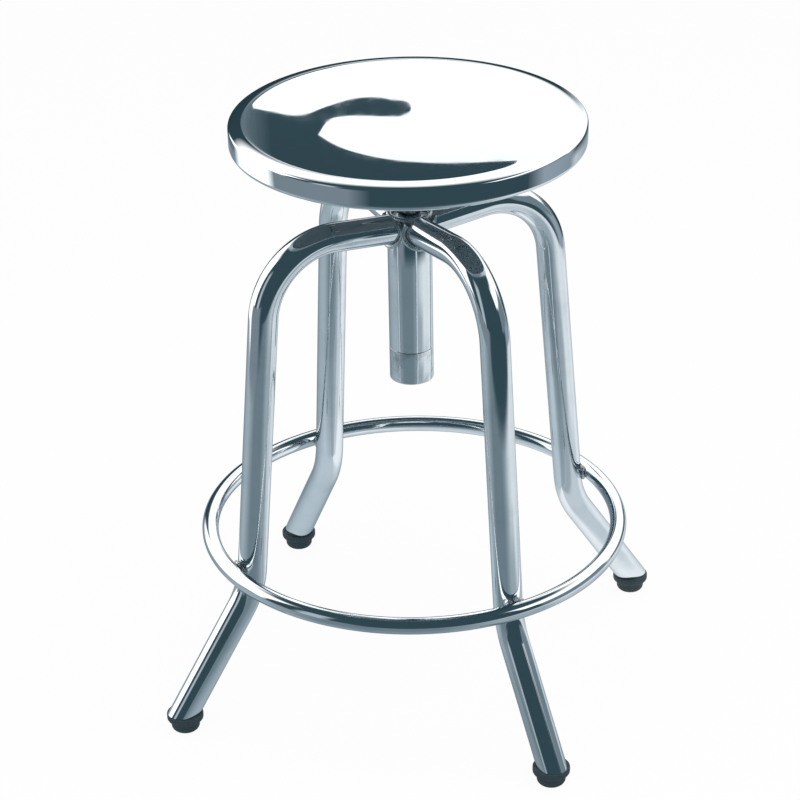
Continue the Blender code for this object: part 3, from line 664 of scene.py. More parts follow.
def weld_tree():
    """Lays a rippled bead along the host's path, with copies turned round the column's axis."""
    tree, get, result = geometry_group("weld_bead", {
        "Bead Radius": 0.0018,
        "Ripple Length": 0.0016,
        "Ripple Depth": 0.00022,
        "Unevenness": 0.0003,
        "Sides": 14,
        "Count": 4,
        "Seed": 3.0,
    })
    line = wire(tree, "GeometryNodeMeshToCurve", {"Mesh": get["Geometry"]})
    step = over(get["Ripple Length"], 5.0)
    fine = wire(tree, "GeometryNodeResampleCurve", {"Curve": line, "Length": step}, mode="LENGTH")
    along = add_node(tree, "GeometryNodeSplineParameter").outputs["Length"]
    ripple = calc("FRACT", over(along, get["Ripple Length"]))
    scale = times(minus(1.0, calc("POWER", ripple, 2.0)), get["Ripple Depth"])
    uneven = line_noise(plus(times(along, 300.0), get["Seed"]), 2)
    swell = times(minus(uneven, 0.5), get["Unevenness"])
    sunk = minus(scale, get["Ripple Depth"])
    radius = plus(plus(get["Bead Radius"], swell), sunk)
    bead = wire(tree, "GeometryNodeCurveToMesh", {
        "Curve": fine,
        "Profile Curve": circle(tree, get["Sides"], 1.0),
        "Scale": radius,
        "Fill Caps": True,
    })
    return end_tree(tree, result, turned_copies(bead, get["Count"]), get["Material"])


def laid_bead(name, points, closed, settings):
    """A weld bead along the path from point to point."""
    edges = [(k, k + 1) for k in range(len(points) - 1)]
    if closed:
        edges.append((len(points) - 1, 0))
    path = bpy.data.meshes.new(name)
    path.from_pydata(points, edges, [])
    return shaped_by(weld_beads, name, path, {**settings, "Material": weld_metal})


def ramp(value, *stops):
    """A colour ramp with two stops, each a place and a colour."""
    made = add_node(value.id_data, "ShaderNodeValToRGB", {0: value})
    for element, (place, colour) in zip(made.color_ramp.elements, stops):
        element.position = place
        element.color = (*colour, 1)
    return made.outputs[0]


def brushed_weld():
    """Weld metal: straw and blue heat tint in patches under the marks of a wire brush."""
    material, tree = new_material("brushed_weld", WELD_COLOUR, 1.0, 0.32)
    place = object_place(tree)
    tint = ramp(noise(place, 130, 4), (0.36, WELD_DARK_COLOUR), (0.66, WELD_BRIGHT_COLOUR))
    grain = noise(place, 1500, 3)
    return surfaced(material, tint, mapped(grain, to=WELD_ROUGHNESS), grain, WELD_GRAIN_DEPTH)


weld_metal = brushed_weld()
weld_beads = weld_tree()

beside_leg = LEG_RADIUS + HUB_BEAD_RADIUS + WELD_GAP
beside_column = COLUMN_RADIUS + HUB_BEAD_RADIUS + WELD_GAP
rim_rise = column_top.z - ARM_HEIGHT - beside_column * math.tan(LEG_LEAN)
rim_turn = math.asin(rim_rise / beside_leg)
arm_up = Vector((-arm_direction.z, 0, arm_direction.x))
points = []
for k in range(HUB_PATH_STEPS + 1):
    turn = math.pi - rim_turn + (math.pi + 2 * rim_turn) * k / HUB_PATH_STEPS
    y = beside_leg * math.cos(turn)
    start = hub + arm_up * beside_leg * math.sin(turn)
    x = math.sqrt(beside_column**2 - y**2)
    points.append(start + arm_direction * (x - start.x) / arm_direction.x + Vector((0, y, 0)))
hub_welds = laid_bead("hub_welds", points, False, {
    "Bead Radius": HUB_BEAD_RADIUS + WELD_GAP + HUB_BEAD_SWELL,
})
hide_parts("hub_weld_right", "hub_weld_back", "hub_weld_left", "hub_weld_front")
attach(hub_welds, "frame")

rim_low, rim_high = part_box("rim_weld")
rim_path_radius = COLUMN_RADIUS - HUB_BEAD_RADIUS
points = circle_points(rim_path_radius, (rim_low.z + rim_high.z) / 2, 96)
rim_bead = laid_bead("rim_bead", points, True, {
    "Bead Radius": HUB_BEAD_RADIUS + WELD_GAP + HUB_BEAD_SWELL,
    "Count": 1,
    "Seed": 11.0,
})
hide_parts("rim_weld")
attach(rim_bead, "frame")


# The foot ring
# A hoop of thin stainless tube, rolled round, butt welded and ground flush behind the back leg.
# It lies against the outside of the uprights and is polished like them.

RING_HEIGHT = 0.144
RING_TUBE_RADIUS = 0.00725
RING_SIDES = 48
RING_STEPS = 360

ring_low, ring_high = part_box("foot_ring")
ring_radius = ring_high.x - RING_TUBE_RADIUS


def ring_tree():
    """A round tube bent into a hoop about the column's axis, with its joint at the back."""
    tree, get, result = geometry_group("rolled_ring", {
        "Ring Radius": ring_radius,
        "Tube Radius": RING_TUBE_RADIUS,
        "Height": RING_HEIGHT,
        "Steps": RING_STEPS,
        "Sides": RING_SIDES,
    })
    hoop = circle(tree, get["Steps"], get["Ring Radius"])
    tube = polished_tube(hoop, get["Sides"], get["Tube Radius"])
    raised = wire(tree, "GeometryNodeTransform", {
        "Geometry": tube,
        "Translation": wire(tree, "ShaderNodeCombineXYZ", {2: get["Height"]}),
        "Rotation": (0, 0, math.pi / 2),
    })
    return end_tree(tree, result, raised, get["Material"])


hoop = bpy.data.meshes.new("foot_hoop")
ring = shaped_by(ring_tree(), "foot_hoop", hoop, {"Material": tube_steel}, merge=False)
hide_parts("foot_ring")
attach(ring, "frame")


# The ring welds
# A bead closes the crevice round each place where the ring lies against a leg.
# It is made and finished like the welds at the hub.

RING_BEAD_RADIUS = 0.0012
RING_PATH_STEPS = 64


def leg_centre_points():
    """Closely spaced points on the leg's centre line between the knee bend and the ankle bend's end."""
    into = (ankle - knee).normalized()
    bend = into.angle(splay_direction)
    back = ANKLE_BEND * math.tan(bend / 2)
    start = ankle - into * back
    turn_axis = into.cross(splay_direction).normalized()
    centre = start + turn_axis.cross(into) * ANKLE_BEND
    points = [knee.lerp(start, k / 2000) for k in range(2000)]
    for k in range(401):
        points.append(centre + Matrix.Rotation(bend * k / 400, 3, turn_axis) @ (start - centre))
    return points


ring_centre = Vector((ring_radius, 0, RING_HEIGHT))
touch = min(leg_centre_points(), key=lambda point: (point - ring_centre).length)
outward = (ring_centre - touch).normalized()
upward = Vector((-outward.z, 0, outward.x))
apart = (ring_centre - touch).length
beside_leg = LEG_RADIUS + RING_BEAD_RADIUS + WELD_GAP
beside_ring = RING_TUBE_RADIUS + RING_BEAD_RADIUS + WELD_GAP
axis_offset = ring_radius - apart
end_x = ((ring_radius - beside_ring) ** 2 - beside_leg**2 - axis_offset**2) / (2 * axis_offset)
end_y = math.sqrt(beside_leg**2 - end_x**2)
points = []
for k in range(RING_PATH_STEPS):
    turn = 2 * math.pi * k / RING_PATH_STEPS
    y = end_y * math.sin(turn)
    x = math.sqrt(beside_leg**2 - y**2)
    ring_x = apart - (ring_radius - math.sqrt(ring_radius**2 - y**2))
    rise = math.sqrt(max(beside_ring**2 - (x - ring_x) ** 2, 0))
    points.append(touch + outward * x + Vector((0, y, 0)) + upward * math.copysign(rise, math.cos(turn)))
ring_welds = laid_bead("ring_welds", points, True, {
    "Bead Radius": RING_BEAD_RADIUS + WELD_GAP,
    "Ripple Length": 0.0013,
    "Seed": 23.0,
})
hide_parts("ring_weld_right", "ring_weld_back", "ring_weld_left", "ring_weld_front")
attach(ring_welds, "frame")


# The rubber feet
# Moulded black rubber: a shank pressed into the tube, a flange under its cut end and a boss on the floor.

FLANGE_RADIUS = 0.0160
FLANGE_THICKNESS = 0.0070
BOSS_RADIUS = 0.0125
BOSS_HEIGHT = 0.0100
BOSS_FLOOR_EDGE = 0.0050
BOSS_CORNER = 0.0010
FLANGE_LOWER_EDGE = 0.0026
FLANGE_UPPER_EDGE = 0.0012
SHANK_LENGTH = 0.020
SHANK_CHAMFER = 0.0015
RUBBER_COLOUR = (0.026, 0.050, 0.060)
DUST_COLOUR = (0.16, 0.17, 0.17)
RUBBER_ROUGHNESS = (0.48, 0.72)
MOULD_TEXTURE_DEPTH = 3e-5


def dust_group():
    """Dust that lies mostly on upward faces, in fine grains, as a mask."""
    inputs = {"Amount": 0.4, "Grain Size": 0.004}
    tree, get, result = new_group("settled_dust", "ShaderNodeTree", inputs, {"Dust": "Float"})
    lying = mapped(parts_of(object_place(tree, "Normal"))[2], 0.2, 1.0)
    grains = noise(object_place(tree), over(1.0, get["Grain Size"]), 6, 0.7)
    cover = plus(times(lying, 0.7), 0.3)
    dust = times(times(cover, mapped(grains, 0.4, 0.75)), get["Amount"])
    tree.links.new(dust, result.inputs["Dust"])
    return tree


settled_dust = dust_group()


def moulded_rubber():
    """Matt black rubber with the faint texture of its mould and a little dust."""
    material, tree = new_material("moulded_rubber", RUBBER_COLOUR, 0.0, 0.6, {"Specular IOR Level": 0.35})
    dust = grouped(tree, settled_dust, {"Amount": 0.14, "Grain Size": 0.004})["Dust"]
    texture = noise(object_place(tree), 1800, 2)
    colour = mixed(dust, RUBBER_COLOUR, DUST_COLOUR)
    return surfaced(material, colour, mapped(texture, to=RUBBER_ROUGHNESS), texture, MOULD_TEXTURE_DEPTH)


def copies_tree():
    """Copies of the host turned round the column's axis."""
    tree, get, result = geometry_group("set_round", {"Count": 4})
    return end_tree(tree, result, turned_copies(get["Geometry"], get["Count"]), get["Material"])


rubber = moulded_rubber()
set_round = copies_tree()
foot_height = BOSS_HEIGHT + FLANGE_THICKNESS
shank_radius = LEG_RADIUS - LEG_WALL - WELD_GAP
outline = filleted([
    (0, 0, 0),
    (BOSS_RADIUS, 0, BOSS_FLOOR_EDGE),
    (BOSS_RADIUS, BOSS_HEIGHT, BOSS_CORNER),
    (FLANGE_RADIUS, BOSS_HEIGHT, FLANGE_LOWER_EDGE),
    (FLANGE_RADIUS, foot_height, FLANGE_UPPER_EDGE),
    (shank_radius, foot_height, 0),
])
sides = 64
rows = []
along = 0.0
for radius, height in outline:
    along += 0.001
    rows.append((circle_points(radius, height, sides, FOOT_CIRCLE), along))
splay_up = Vector((-splay_direction.z, 0, splay_direction.x))
shank_end = shank_radius - SHANK_CHAMFER
for reach, radius in ((SHANK_LENGTH - SHANK_CHAMFER, shank_radius), (SHANK_LENGTH, shank_end)):
    centre = leg_end - splay_direction * reach
    ring_points = []
    for side in range(sides):
        turn = 2 * math.pi * side / sides
        aside = Vector((0, radius * math.sin(turn), 0))
        ring_points.append(centre + splay_up * radius * math.cos(turn) + aside)
    rows.append((ring_points, along + reach))
foot = closed_mesh("rubber_foot", rows)
feet = shaped_by(set_round, "feet", foot, {"Material": rubber}, sharp_deg=60)
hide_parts("foot_right", "foot_back", "foot_left", "foot_front")
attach(feet, "frame")


# The guide bush
# A turned nylon bush on the spindle's journal.
# It slides in the column's bore and keeps the spindle upright.

BUSH_BORE_RADIUS = 0.0063
BUSH_EDGES = (0.0004, 0.0008, 0.0008, 0.0004)
NYLON_COLOUR = (0.86, 0.85, 0.80)
RUBBED_NYLON_COLOUR = (0.66, 0.65, 0.61)
NYLON_ROUGHNESS = 0.42


def turned_nylon():
    """White nylon with faint turning rings, greyed by the steel that it rubs on."""
    milky = {"Subsurface Weight": 0.1, "Subsurface Radius": (0.002, 0.002, 0.002)}
    material, tree = new_material("turned_nylon", NYLON_COLOUR, 0.0, NYLON_ROUGHNESS, milky)
    marks = grouped(tree, turning_marks, {"Ring Depth": 3e-6, "Stain Size": 0.006})
    colour = mixed(marks["Stain"], NYLON_COLOUR, RUBBED_NYLON_COLOUR)
    return surfaced(material, colour, NYLON_ROUGHNESS, marks["Height"])


bush_low, bush_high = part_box("guide_bush")
outline = sleeve(BUSH_BORE_RADIUS, bush_high.x, bush_low.z, bush_high.z, BUSH_EDGES)
bush = new_piece("bush", turned_mesh("bush", outline, sides=96), turned_nylon())
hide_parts("guide_bush")
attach(bush, "guide")


# The spindle
# A steel bar turned with a plain neck, a coarse right-hand trapezoidal thread, and a journal for the bush.
# Its neck shows between the seat and the hub, and the thread comes into sight as the seat is raised.

SPINDLE_RADIUS = 0.0095
JOURNAL_RADIUS = 0.0060
BOLT_HOLE_RADIUS = 0.0043
NECK_EDGES = (0, 0.0005, 0.0002, 0)
NECK_OVERLAP = 0.0002
JOURNAL_EDGES = (0.0002, 0.0004, 0, 0)
JOURNAL_OVERLAP = 0.001

spindle_low, spindle_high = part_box("spindle")
thread_bottom = bush_high.z + WELD_GAP
thread_top = nut_high.z + WELD_GAP
neck = sleeve(0, SPINDLE_RADIUS, thread_top, spindle_high.z, NECK_EDGES)
journal_top = thread_bottom + JOURNAL_OVERLAP
journal = sleeve(BOLT_HOLE_RADIUS, JOURNAL_RADIUS, spindle_low.z, journal_top, JOURNAL_EDGES)
spindle = shaped_by(cut_thread, "screw_spindle", bpy.data.meshes.new("screw_spindle"), {
    "Bottom": thread_bottom,
    "Top": thread_top + NECK_OVERLAP,
    "Rows": 420,
    "Sides": 64,
    "Material": machined,
})
shape = bmesh.new()
shape.from_mesh(spindle.data)
shape.from_mesh(turned_mesh("spindle_neck", neck, ring=False, sides=96))
shape.from_mesh(turned_mesh("spindle_journal", journal, sides=64))
for face in shape.faces:
    face.material_index = 0
shape.to_mesh(spindle.data)
shape.free()
spindle.data.materials.clear()
spindle.data.materials.append(machined)
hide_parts("spindle")
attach(spindle, "seat")


# The washer and bolt
# A zinc-plated washer and a hexagon bolt hold the bush on the spindle's lower end. Both are stock pieces.

ZINC_COLOUR = (0.66, 0.67, 0.66)
BRIGHT_ZINC_COLOUR = (0.72, 0.74, 0.75)
DULL_ZINC_COLOUR = (0.56, 0.56, 0.53)
ZINC_ROUGHNESS = (0.14, 0.44)
CRYSTAL_DEPTH = 6e-6
WASHER_EDGES = (0.0002, 0.0004, 0.0002, 0.0002)


def zinc_plate():
    """Bright zinc plating, mottled by its crystals and dulled in patches."""
    material, tree = new_material("zinc_plating", ZINC_COLOUR, 1.0, 0.28)
    place = object_place(tree)
    crystals = wire(tree, "ShaderNodeTexVoronoi", {"Vector": place, "Scale": 420})
    clouds = noise(place, 60, 5, 0.6)
    mottled = plus(times(crystals, 0.35), clouds)
    tone = ramp(mottled, (0.40, BRIGHT_ZINC_COLOUR), (0.90, DULL_ZINC_COLOUR))
    return surfaced(material, tone, mapped(clouds, to=ZINC_ROUGHNESS), crystals, CRYSTAL_DEPTH)


zinc = zinc_plate()
washer_low, washer_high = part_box("end_washer")
outline = sleeve(BOLT_HOLE_RADIUS, washer_high.x, washer_low.z, washer_high.z, WASHER_EDGES)
washer = new_piece("washer", turned_mesh("washer", outline, sides=64), zinc)
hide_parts("end_washer")
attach(washer, "seat")

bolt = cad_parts["end_bolt"]
bolt.data.materials.clear()
bolt.data.materials.append(zinc)


# The mounting plate
# A square of steel with round corners, welded on the spindle and drilled for four screws; its black paint is
# painted shade.
# The arms' tops mirror its underside, which the photograph shows dark.

# Painted shade: the paint's blue-black stands in for the shade under the seat; its rubbed patches are real
# wear.
SHADE_PAINT_COLOUR = (0.060, 0.096, 0.116)
RUBBED_SHADE_PAINT_COLOUR = (0.068, 0.106, 0.126)
PAINT_ROUGHNESS = (0.30, 0.58)
BRUSH_MARK_DEPTH = 1.2e-5
PLATE_CORNER = 0.012
PLATE_EDGE = 0.0005
SCREW_PLACE = 0.038
SCREW_HOLE_RADIUS = 0.0025
DRILL_OVERRUN = 0.002
NECK_BEAD_RADIUS = 0.0021
NECK_BEAD_OUT = 0.0014
NECK_BEAD_DROP = 0.0016

plate_low, plate_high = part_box("mounting_plate")
inner = plate_high.x - PLATE_CORNER
outline = []
for k, (sign_x, sign_y) in enumerate(((1, 1), (-1, 1), (-1, -1), (1, -1))):
    for step in range(9):
        turn = math.radians(90 * k + 90 * step / 8)
        outline.append((sign_x * inner, sign_y * inner, math.cos(turn), math.sin(turn)))


def black_paint():
    """Satin black paint, dark as painted shade, brushed on thinly, and rubbed duller in patches."""
    material, tree = new_material("black_paint", SHADE_PAINT_COLOUR, 0.0, 0.42)
    place = object_place(tree)
    brush = noise(stretched(place, (60, 700, 60)), 1, 3)
    rubbed = noise(place, 45, 5, 0.6)
    tone = mixed(rubbed, SHADE_PAINT_COLOUR, RUBBED_SHADE_PAINT_COLOUR)
    return surfaced(material, tone, mapped(rubbed, to=PAINT_ROUGHNESS), brush, BRUSH_MARK_DEPTH)


def plate_row(inset, height):
    """The plate's outline, drawn in by an inset, at a height."""
    row = []
    for x, y, across, along in outline:
        reach = PLATE_CORNER - inset
        row.append(Vector((x + reach * across, y + reach * along, height)))
    return row


def cut_away(target, mesh, sharp_deg, use_self=False):
    """Cuts the shape of a mesh out of a piece."""
    tool = placed("tool", mesh)
    cut = target.modifiers.new("cut", "BOOLEAN")
    cut.solver = "EXACT"
    cut.use_self = use_self
    cut.object = tool
    baked(target, sharp_deg)
    bpy.data.objects.remove(tool)


def drilled(target, radius, bottom, top):
    """Drills the four screw holes through a piece and applies the cut."""
    outline = [(0, bottom), (radius, bottom), (radius, top), (0, top)]
    drill = turned_mesh("drill", outline, ring=False, sides=32)
    shape = bmesh.new()
    for x in (SCREW_PLACE, -SCREW_PLACE):
        for y in (SCREW_PLACE, -SCREW_PLACE):
            before = set(shape.verts)
            shape.from_mesh(drill)
            made = [vert for vert in shape.verts if vert not in before]
            bmesh.ops.translate(shape, verts=made, vec=(x, y, 0))
    shape.to_mesh(drill)
    shape.free()
    cut_away(target, drill, 30)


rows = [
    (plate_row(PLATE_EDGE, plate_low.z), 0.0),
    (plate_row(0, plate_low.z + PLATE_EDGE), 0.001),
    (plate_row(0, plate_high.z - PLATE_EDGE), 0.004),
    (plate_row(PLATE_EDGE, plate_high.z), 0.005),
]
plate = new_piece("seat_plate", closed_mesh("seat_plate", rows, sharp_deg=30), black_paint())
drilled(plate, SCREW_HOLE_RADIUS, plate_low.z - DRILL_OVERRUN, plate_high.z + DRILL_OVERRUN)
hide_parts("mounting_plate")
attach(plate, "seat")

points = circle_points(SPINDLE_RADIUS + NECK_BEAD_OUT, plate_low.z - NECK_BEAD_DROP, 64)
neck_weld = laid_bead("neck_weld", points, True, {
    "Bead Radius": NECK_BEAD_RADIUS,
    "Ripple Length": 0.0015,
    "Count": 1,
    "Seed": 31.0,
})
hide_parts("spindle_weld")
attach(neck_weld, "seat")


# The plate screws
# Four pan-head wood screws with a cross recess, driven up through the plate into the board.

SCREW_SHANK_RADIUS = 0.0021
SCREW_POINT_LENGTH = 0.0042
SCREW_HEAD_CROWN = 0.8
SCREW_HEAD_FULLNESS = 0.7
RECESS_LENGTH = 0.0050
RECESS_WIDTH = 0.0009
RECESS_HEIGHT = 0.0026
RECESS_TAPER = 0.55

screw_low, screw_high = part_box("plate_screw_1")
screw_seat = plate_low.z - WELD_GAP
head_radius = (screw_high.x - screw_low.x) / 2
outline = [(0, screw_low.z)]
for k in range(1, 9):
    turn = math.radians(90 * k / 8)
    height = screw_seat - (screw_seat - screw_low.z) * math.cos(turn) ** SCREW_HEAD_CROWN
    outline.append((head_radius * math.sin(turn) ** SCREW_HEAD_FULLNESS, height))
outline += [(SCREW_SHANK_RADIUS, screw_seat), (SCREW_SHANK_RADIUS, screw_high.z - SCREW_POINT_LENGTH)]
outline.append((0, screw_high.z))
screw = new_piece("screw_blank", turned_mesh("screw_blank", outline, ring=False, sides=32), zinc)
shape = bmesh.new()
for turn in (0, math.pi / 2):
    arm = bmesh.ops.create_cube(shape, size=1)["verts"]
    for vert in arm:
        x, y, z = vert.co
        narrow = RECESS_TAPER if z > 0 else 1.0
        vert.co = (x * RECESS_LENGTH * narrow, y * RECESS_WIDTH, screw_low.z + z * RECESS_HEIGHT)
    bmesh.ops.rotate(shape, verts=arm, cent=(0, 0, 0), matrix=Matrix.Rotation(turn, 3, "Z"))
recess = bpy.data.meshes.new("recess")
shape.to_mesh(recess)
shape.free()
cut_away(screw, recess, 40, use_self=True)
screw_mesh = screw.data
bpy.data.objects.remove(screw)
screw_mesh.transform(Matrix.Translation((SCREW_PLACE, SCREW_PLACE, 0)))
screws = shaped_by(set_round, "screws", screw_mesh, {"Material": zinc}, sharp_deg=40)
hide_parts("plate_screw_1", "plate_screw_2", "plate_screw_3", "plate_screw_4")
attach(screws, "seat")


# The seat board
# A disc of birch plywood that fills the seat's underside, stained a dark blue-grey that is painted shade for
# the shade under the seat.
# The arms' tops mirror it. Its grain shows faintly through the stain, and the plies on its cut edge.

BOARD_EDGE = 0.0008
PLY_THICKNESS = 0.0014
# Painted shade: the stain, grain and ply tones are dark to stand in for the shade under the seat.
SHADE_STAIN_COLOUR = (0.062, 0.102, 0.124)
SHADE_GRAIN_COLOURS = ((0.058, 0.096, 0.117), (0.066, 0.108, 0.131))
SHADE_PLY_COLOURS = ((0.076, 0.108, 0.126), (0.034, 0.054, 0.064))
BOARD_ROUGHNESS = (0.50, 0.72)
GRAIN_DEPTH = 2e-5


def stained_plywood():
    """Birch plywood stained dark as painted shade: long grain on the faces, and the plies where the edge is
    cut.
    """
    material, tree = new_material("stained_plywood", SHADE_STAIN_COLOUR, 0.0, 0.6)
    place = object_place(tree)
    grain = noise(stretched(place, (9, 160, 9)), 1, 6, distortion=0.6)
    face = ramp(grain, (0.34, SHADE_GRAIN_COLOURS[0]), (0.66, SHADE_GRAIN_COLOURS[1]))
    ply = calc("FRACT", over(parts_of(place)[2], 2 * PLY_THICKNESS))
    edge = ramp(ply, (0.48, SHADE_PLY_COLOURS[0]), (0.52, SHADE_PLY_COLOURS[1]))
    upright = parts_of(object_place(tree, "Normal"))[2]
    flat = calc("GREATER_THAN", calc("ABSOLUTE", upright), 0.7)
    rough = mapped(grain, to=BOARD_ROUGHNESS)
    return surfaced(material, mixed(flat, edge, face), rough, grain, GRAIN_DEPTH)


board_low, board_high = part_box("seat_board")
outline = sleeve(0, board_high.x, board_low.z, board_high.z, (0, BOARD_EDGE, BOARD_EDGE, 0))
board = new_piece("board", turned_mesh("board", outline, ring=False, sides=192), stained_plywood())
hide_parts("seat_board")
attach(board, "seat")


# The seat shell
# One disc of 1.5 mm stainless sheet, spun to a shallow bowl with a soft shoulder and a deep rim.
# The rim's edge is turned in under the board, and the top is polished to a mirror.

SEAT_RADIUS = 0.150
SEAT_SHEET = 0.0015
SEAT_DISH_DEPTH = 0.0045
SEAT_SHOULDER_PLACE = 0.1375
SEAT_SHOULDER_RADIUS = 0.034
SEAT_CORNER_RADIUS = 0.0025
SEAT_LIP_RADIUS = 0.004
SEAT_LIP_WIDTH = 0.012
SEAT_SIDES = 256
WORN_SEAT_COLOUR = (0.84, 0.87, 0.89)


def arc_points(centre_r, centre_z, radius, from_deg, to_deg, steps):
    """Points (radius, height) on an arc, ends included. 0 degrees points outwards and 90 up."""
    points = []
    for k in range(steps + 1):
        turn = math.radians(from_deg + (to_deg - from_deg) * k / steps)
        points.append((centre_r + radius * math.cos(turn), centre_z + radius * math.sin(turn)))
    return points


seat_low, seat_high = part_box("seat_shell")
shoulder_z = seat_high.z - SEAT_SHOULDER_RADIUS
corner_r = SEAT_RADIUS - SEAT_CORNER_RADIUS
apart = SEAT_SHOULDER_RADIUS - SEAT_CORNER_RADIUS
meet = math.acos((corner_r - SEAT_SHOULDER_PLACE) / apart)
meet_deg = math.degrees(meet)
corner_z = shoulder_z + apart * math.sin(meet)
slope = math.atan(2 * SEAT_DISH_DEPTH / SEAT_SHOULDER_PLACE)
slope_deg = math.degrees(slope)
dish_r = SEAT_SHOULDER_PLACE - SEAT_SHOULDER_RADIUS * math.sin(slope)
dish_z = shoulder_z + SEAT_SHOULDER_RADIUS * math.cos(slope)
depth = dish_r * math.tan(slope) / 2
lip_r = SEAT_RADIUS - SEAT_LIP_RADIUS
lip_z = seat_low.z + SEAT_LIP_RADIUS
lip_edge = SEAT_RADIUS - SEAT_LIP_WIDTH
shoulder_inside = SEAT_SHOULDER_RADIUS - SEAT_SHEET
corner_inside = SEAT_CORNER_RADIUS - SEAT_SHEET

top = [(dish_r * k / 40, dish_z - depth * (1 - (k / 40) ** 2)) for k in range(40)]
dish_deg = 90 + slope_deg
outside = top + arc_points(SEAT_SHOULDER_PLACE, shoulder_z, SEAT_SHOULDER_RADIUS, dish_deg, meet_deg, 24)
outside += arc_points(corner_r, corner_z, SEAT_CORNER_RADIUS, meet_deg, 0, 12)[1:]
outside += arc_points(lip_r, lip_z, SEAT_LIP_RADIUS, 0, -90, 10)
edge = arc_points(lip_edge, seat_low.z + SEAT_SHEET / 2, SEAT_SHEET / 2, -90, -270, 8)
inside = arc_points(lip_r, lip_z, SEAT_LIP_RADIUS - SEAT_SHEET, -90, 0, 8)
inside += arc_points(corner_r, corner_z, corner_inside, 0, meet_deg, 6)
inside += arc_points(SEAT_SHOULDER_PLACE, shoulder_z, shoulder_inside, meet_deg, dish_deg, 12)[1:]
inside += [(radius, height - SEAT_SHEET) for radius, height in reversed(top)]
seat_steel = polished_stainless(
    "polished_seat_steel", WORN_SEAT_COLOUR,
    clear=0.014, hazy=0.035, mark_depth=4e-8, wave_depth=1e-6, wave_size=0.06,
)
seat_mesh = turned_mesh("seat_pan", outside + edge + inside, ring=False, sides=SEAT_SIDES, sharp_deg=60)
seat = new_piece("seat_pan", seat_mesh, seat_steel)
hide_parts("seat_shell")
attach(seat, "seat")


# The studio
# A floor and surround that the camera sees plain white; the polished metal alone sees them in greys and dark
# flags, a painted reflection.
# Lamps light the rubber, wood and nylon, and don't show in the metal.

CAMERA_TURN = math.radians(-29.0)
DARK_REFLECTION = (0.033, 0.068, 0.086)
AMBIENT_STRENGTH = 0.55
WINDOW_INPUTS = (
    "Azimuth", "Elevation", "From Azimuth", "To Azimuth", "From Elevation", "To Elevation", "Softness"
)


def window_group():
    """A soft-edged window in the surround, as a mask over azimuth and elevation in degrees."""
    inputs = {**dict.fromkeys(WINDOW_INPUTS, 0.0), "Softness": 4.0}
    tree, get, result = new_group("surround_window", "ShaderNodeTree", inputs, {"Mask": "Float"})

    def half_of(operation, label):
        return over(calc(operation, get["From " + label], get["To " + label]), 2.0)

    def inside(off_centre, label):
        half_width = times(half_of("SUBTRACT", label), -1.0)
        edge = over(minus(half_width, off_centre), get["Softness"])
        return plus(edge, 0.5, clamp=True)

    aside = minus(get["Azimuth"], half_of("ADD", "Azimuth"))
    off = calc("ABSOLUTE", calc("WRAP", aside, 180.0, -180.0))
    above = calc("ABSOLUTE", minus(get["Elevation"], half_of("ADD", "Elevation")))
    mask = times(inside(off, "Azimuth"), inside(above, "Elevation"))
    tree.links.new(mask, result.inputs["Mask"])
    return tree


surround_window = window_group()


def bearings(tree, direction):
    """Azimuth from the camera's side and elevation, both in degrees, of a direction."""
    sockets = {"Vector": direction, "Angle": -CAMERA_TURN}
    x, y, z = parts_of(wire(tree, "ShaderNodeVectorRotate", sockets, rotation_type="Z_AXIS"))
    turn = calc("ARCTAN2", x, times(y, -1.0))
    return calc("DEGREES", turn), calc("DEGREES", calc("ARCSINE", z))


def paint_windows(tree, colour, azimuth, elevation, windows):
    """Lays each window's colour over the one before. A window is (colour, azimuths, elevations, softness)."""
    for tone, (left, right), (low, high), softness in windows:
        values = (azimuth, elevation, left, right, low, high, softness)
        window = grouped(tree, surround_window, dict(zip(WINDOW_INPUTS, values)))
        colour = mixed(window["Mask"], colour, tone)
    return colour


def bare_tree(owner):
    """The emptied node tree of a world or a material."""
    owner.use_nodes = True
    owner.node_tree.nodes.clear()
    return owner.node_tree


def ray_kinds(tree):
    """Whether a ray is the camera's own, and whether it comes by a mirror or glass."""
    rays = add_node(tree, "ShaderNodeLightPath").outputs
    shiny = calc("MAXIMUM", rays["Is Glossy Ray"], rays["Is Transmission Ray"])
    return rays["Is Camera Ray"], shiny


def glow(tree, kind, colour=(1, 1, 1, 1), strength=1.0):
    """The output of a background or an emission."""
    return wire(tree, kind, {"Color": colour, "Strength": strength})


def mix_shaders(tree, factor, plain, other):
    """One shader laid over another by a factor."""
    return wire(tree, "ShaderNodeMixShader", {0: factor, 1: plain, 2: other})


WHITE = (1.52, 1.53, 1.54)
PALE = (0.92, 0.96, 0.99)
MIRRORED_FLOOR_TONE = (0.76, 0.82, 0.86)
LIGHT_GREY = (0.58, 0.65, 0.71)
SOFT_GREY = (0.52, 0.61, 0.67)
STREAK = (0.44, 0.52, 0.57)
MIDDLE_GREY = (0.38, 0.46, 0.51)
DULL_GREY = (0.36, 0.43, 0.48)
DEEP_GREY = (0.30, 0.37, 0.43)
DUSK = (0.20, 0.25, 0.29)
GLOOM = (0.17, 0.23, 0.27)
SHADE = (0.15, 0.20, 0.23)
SEAT_SHADE = (0.165, 0.225, 0.262)

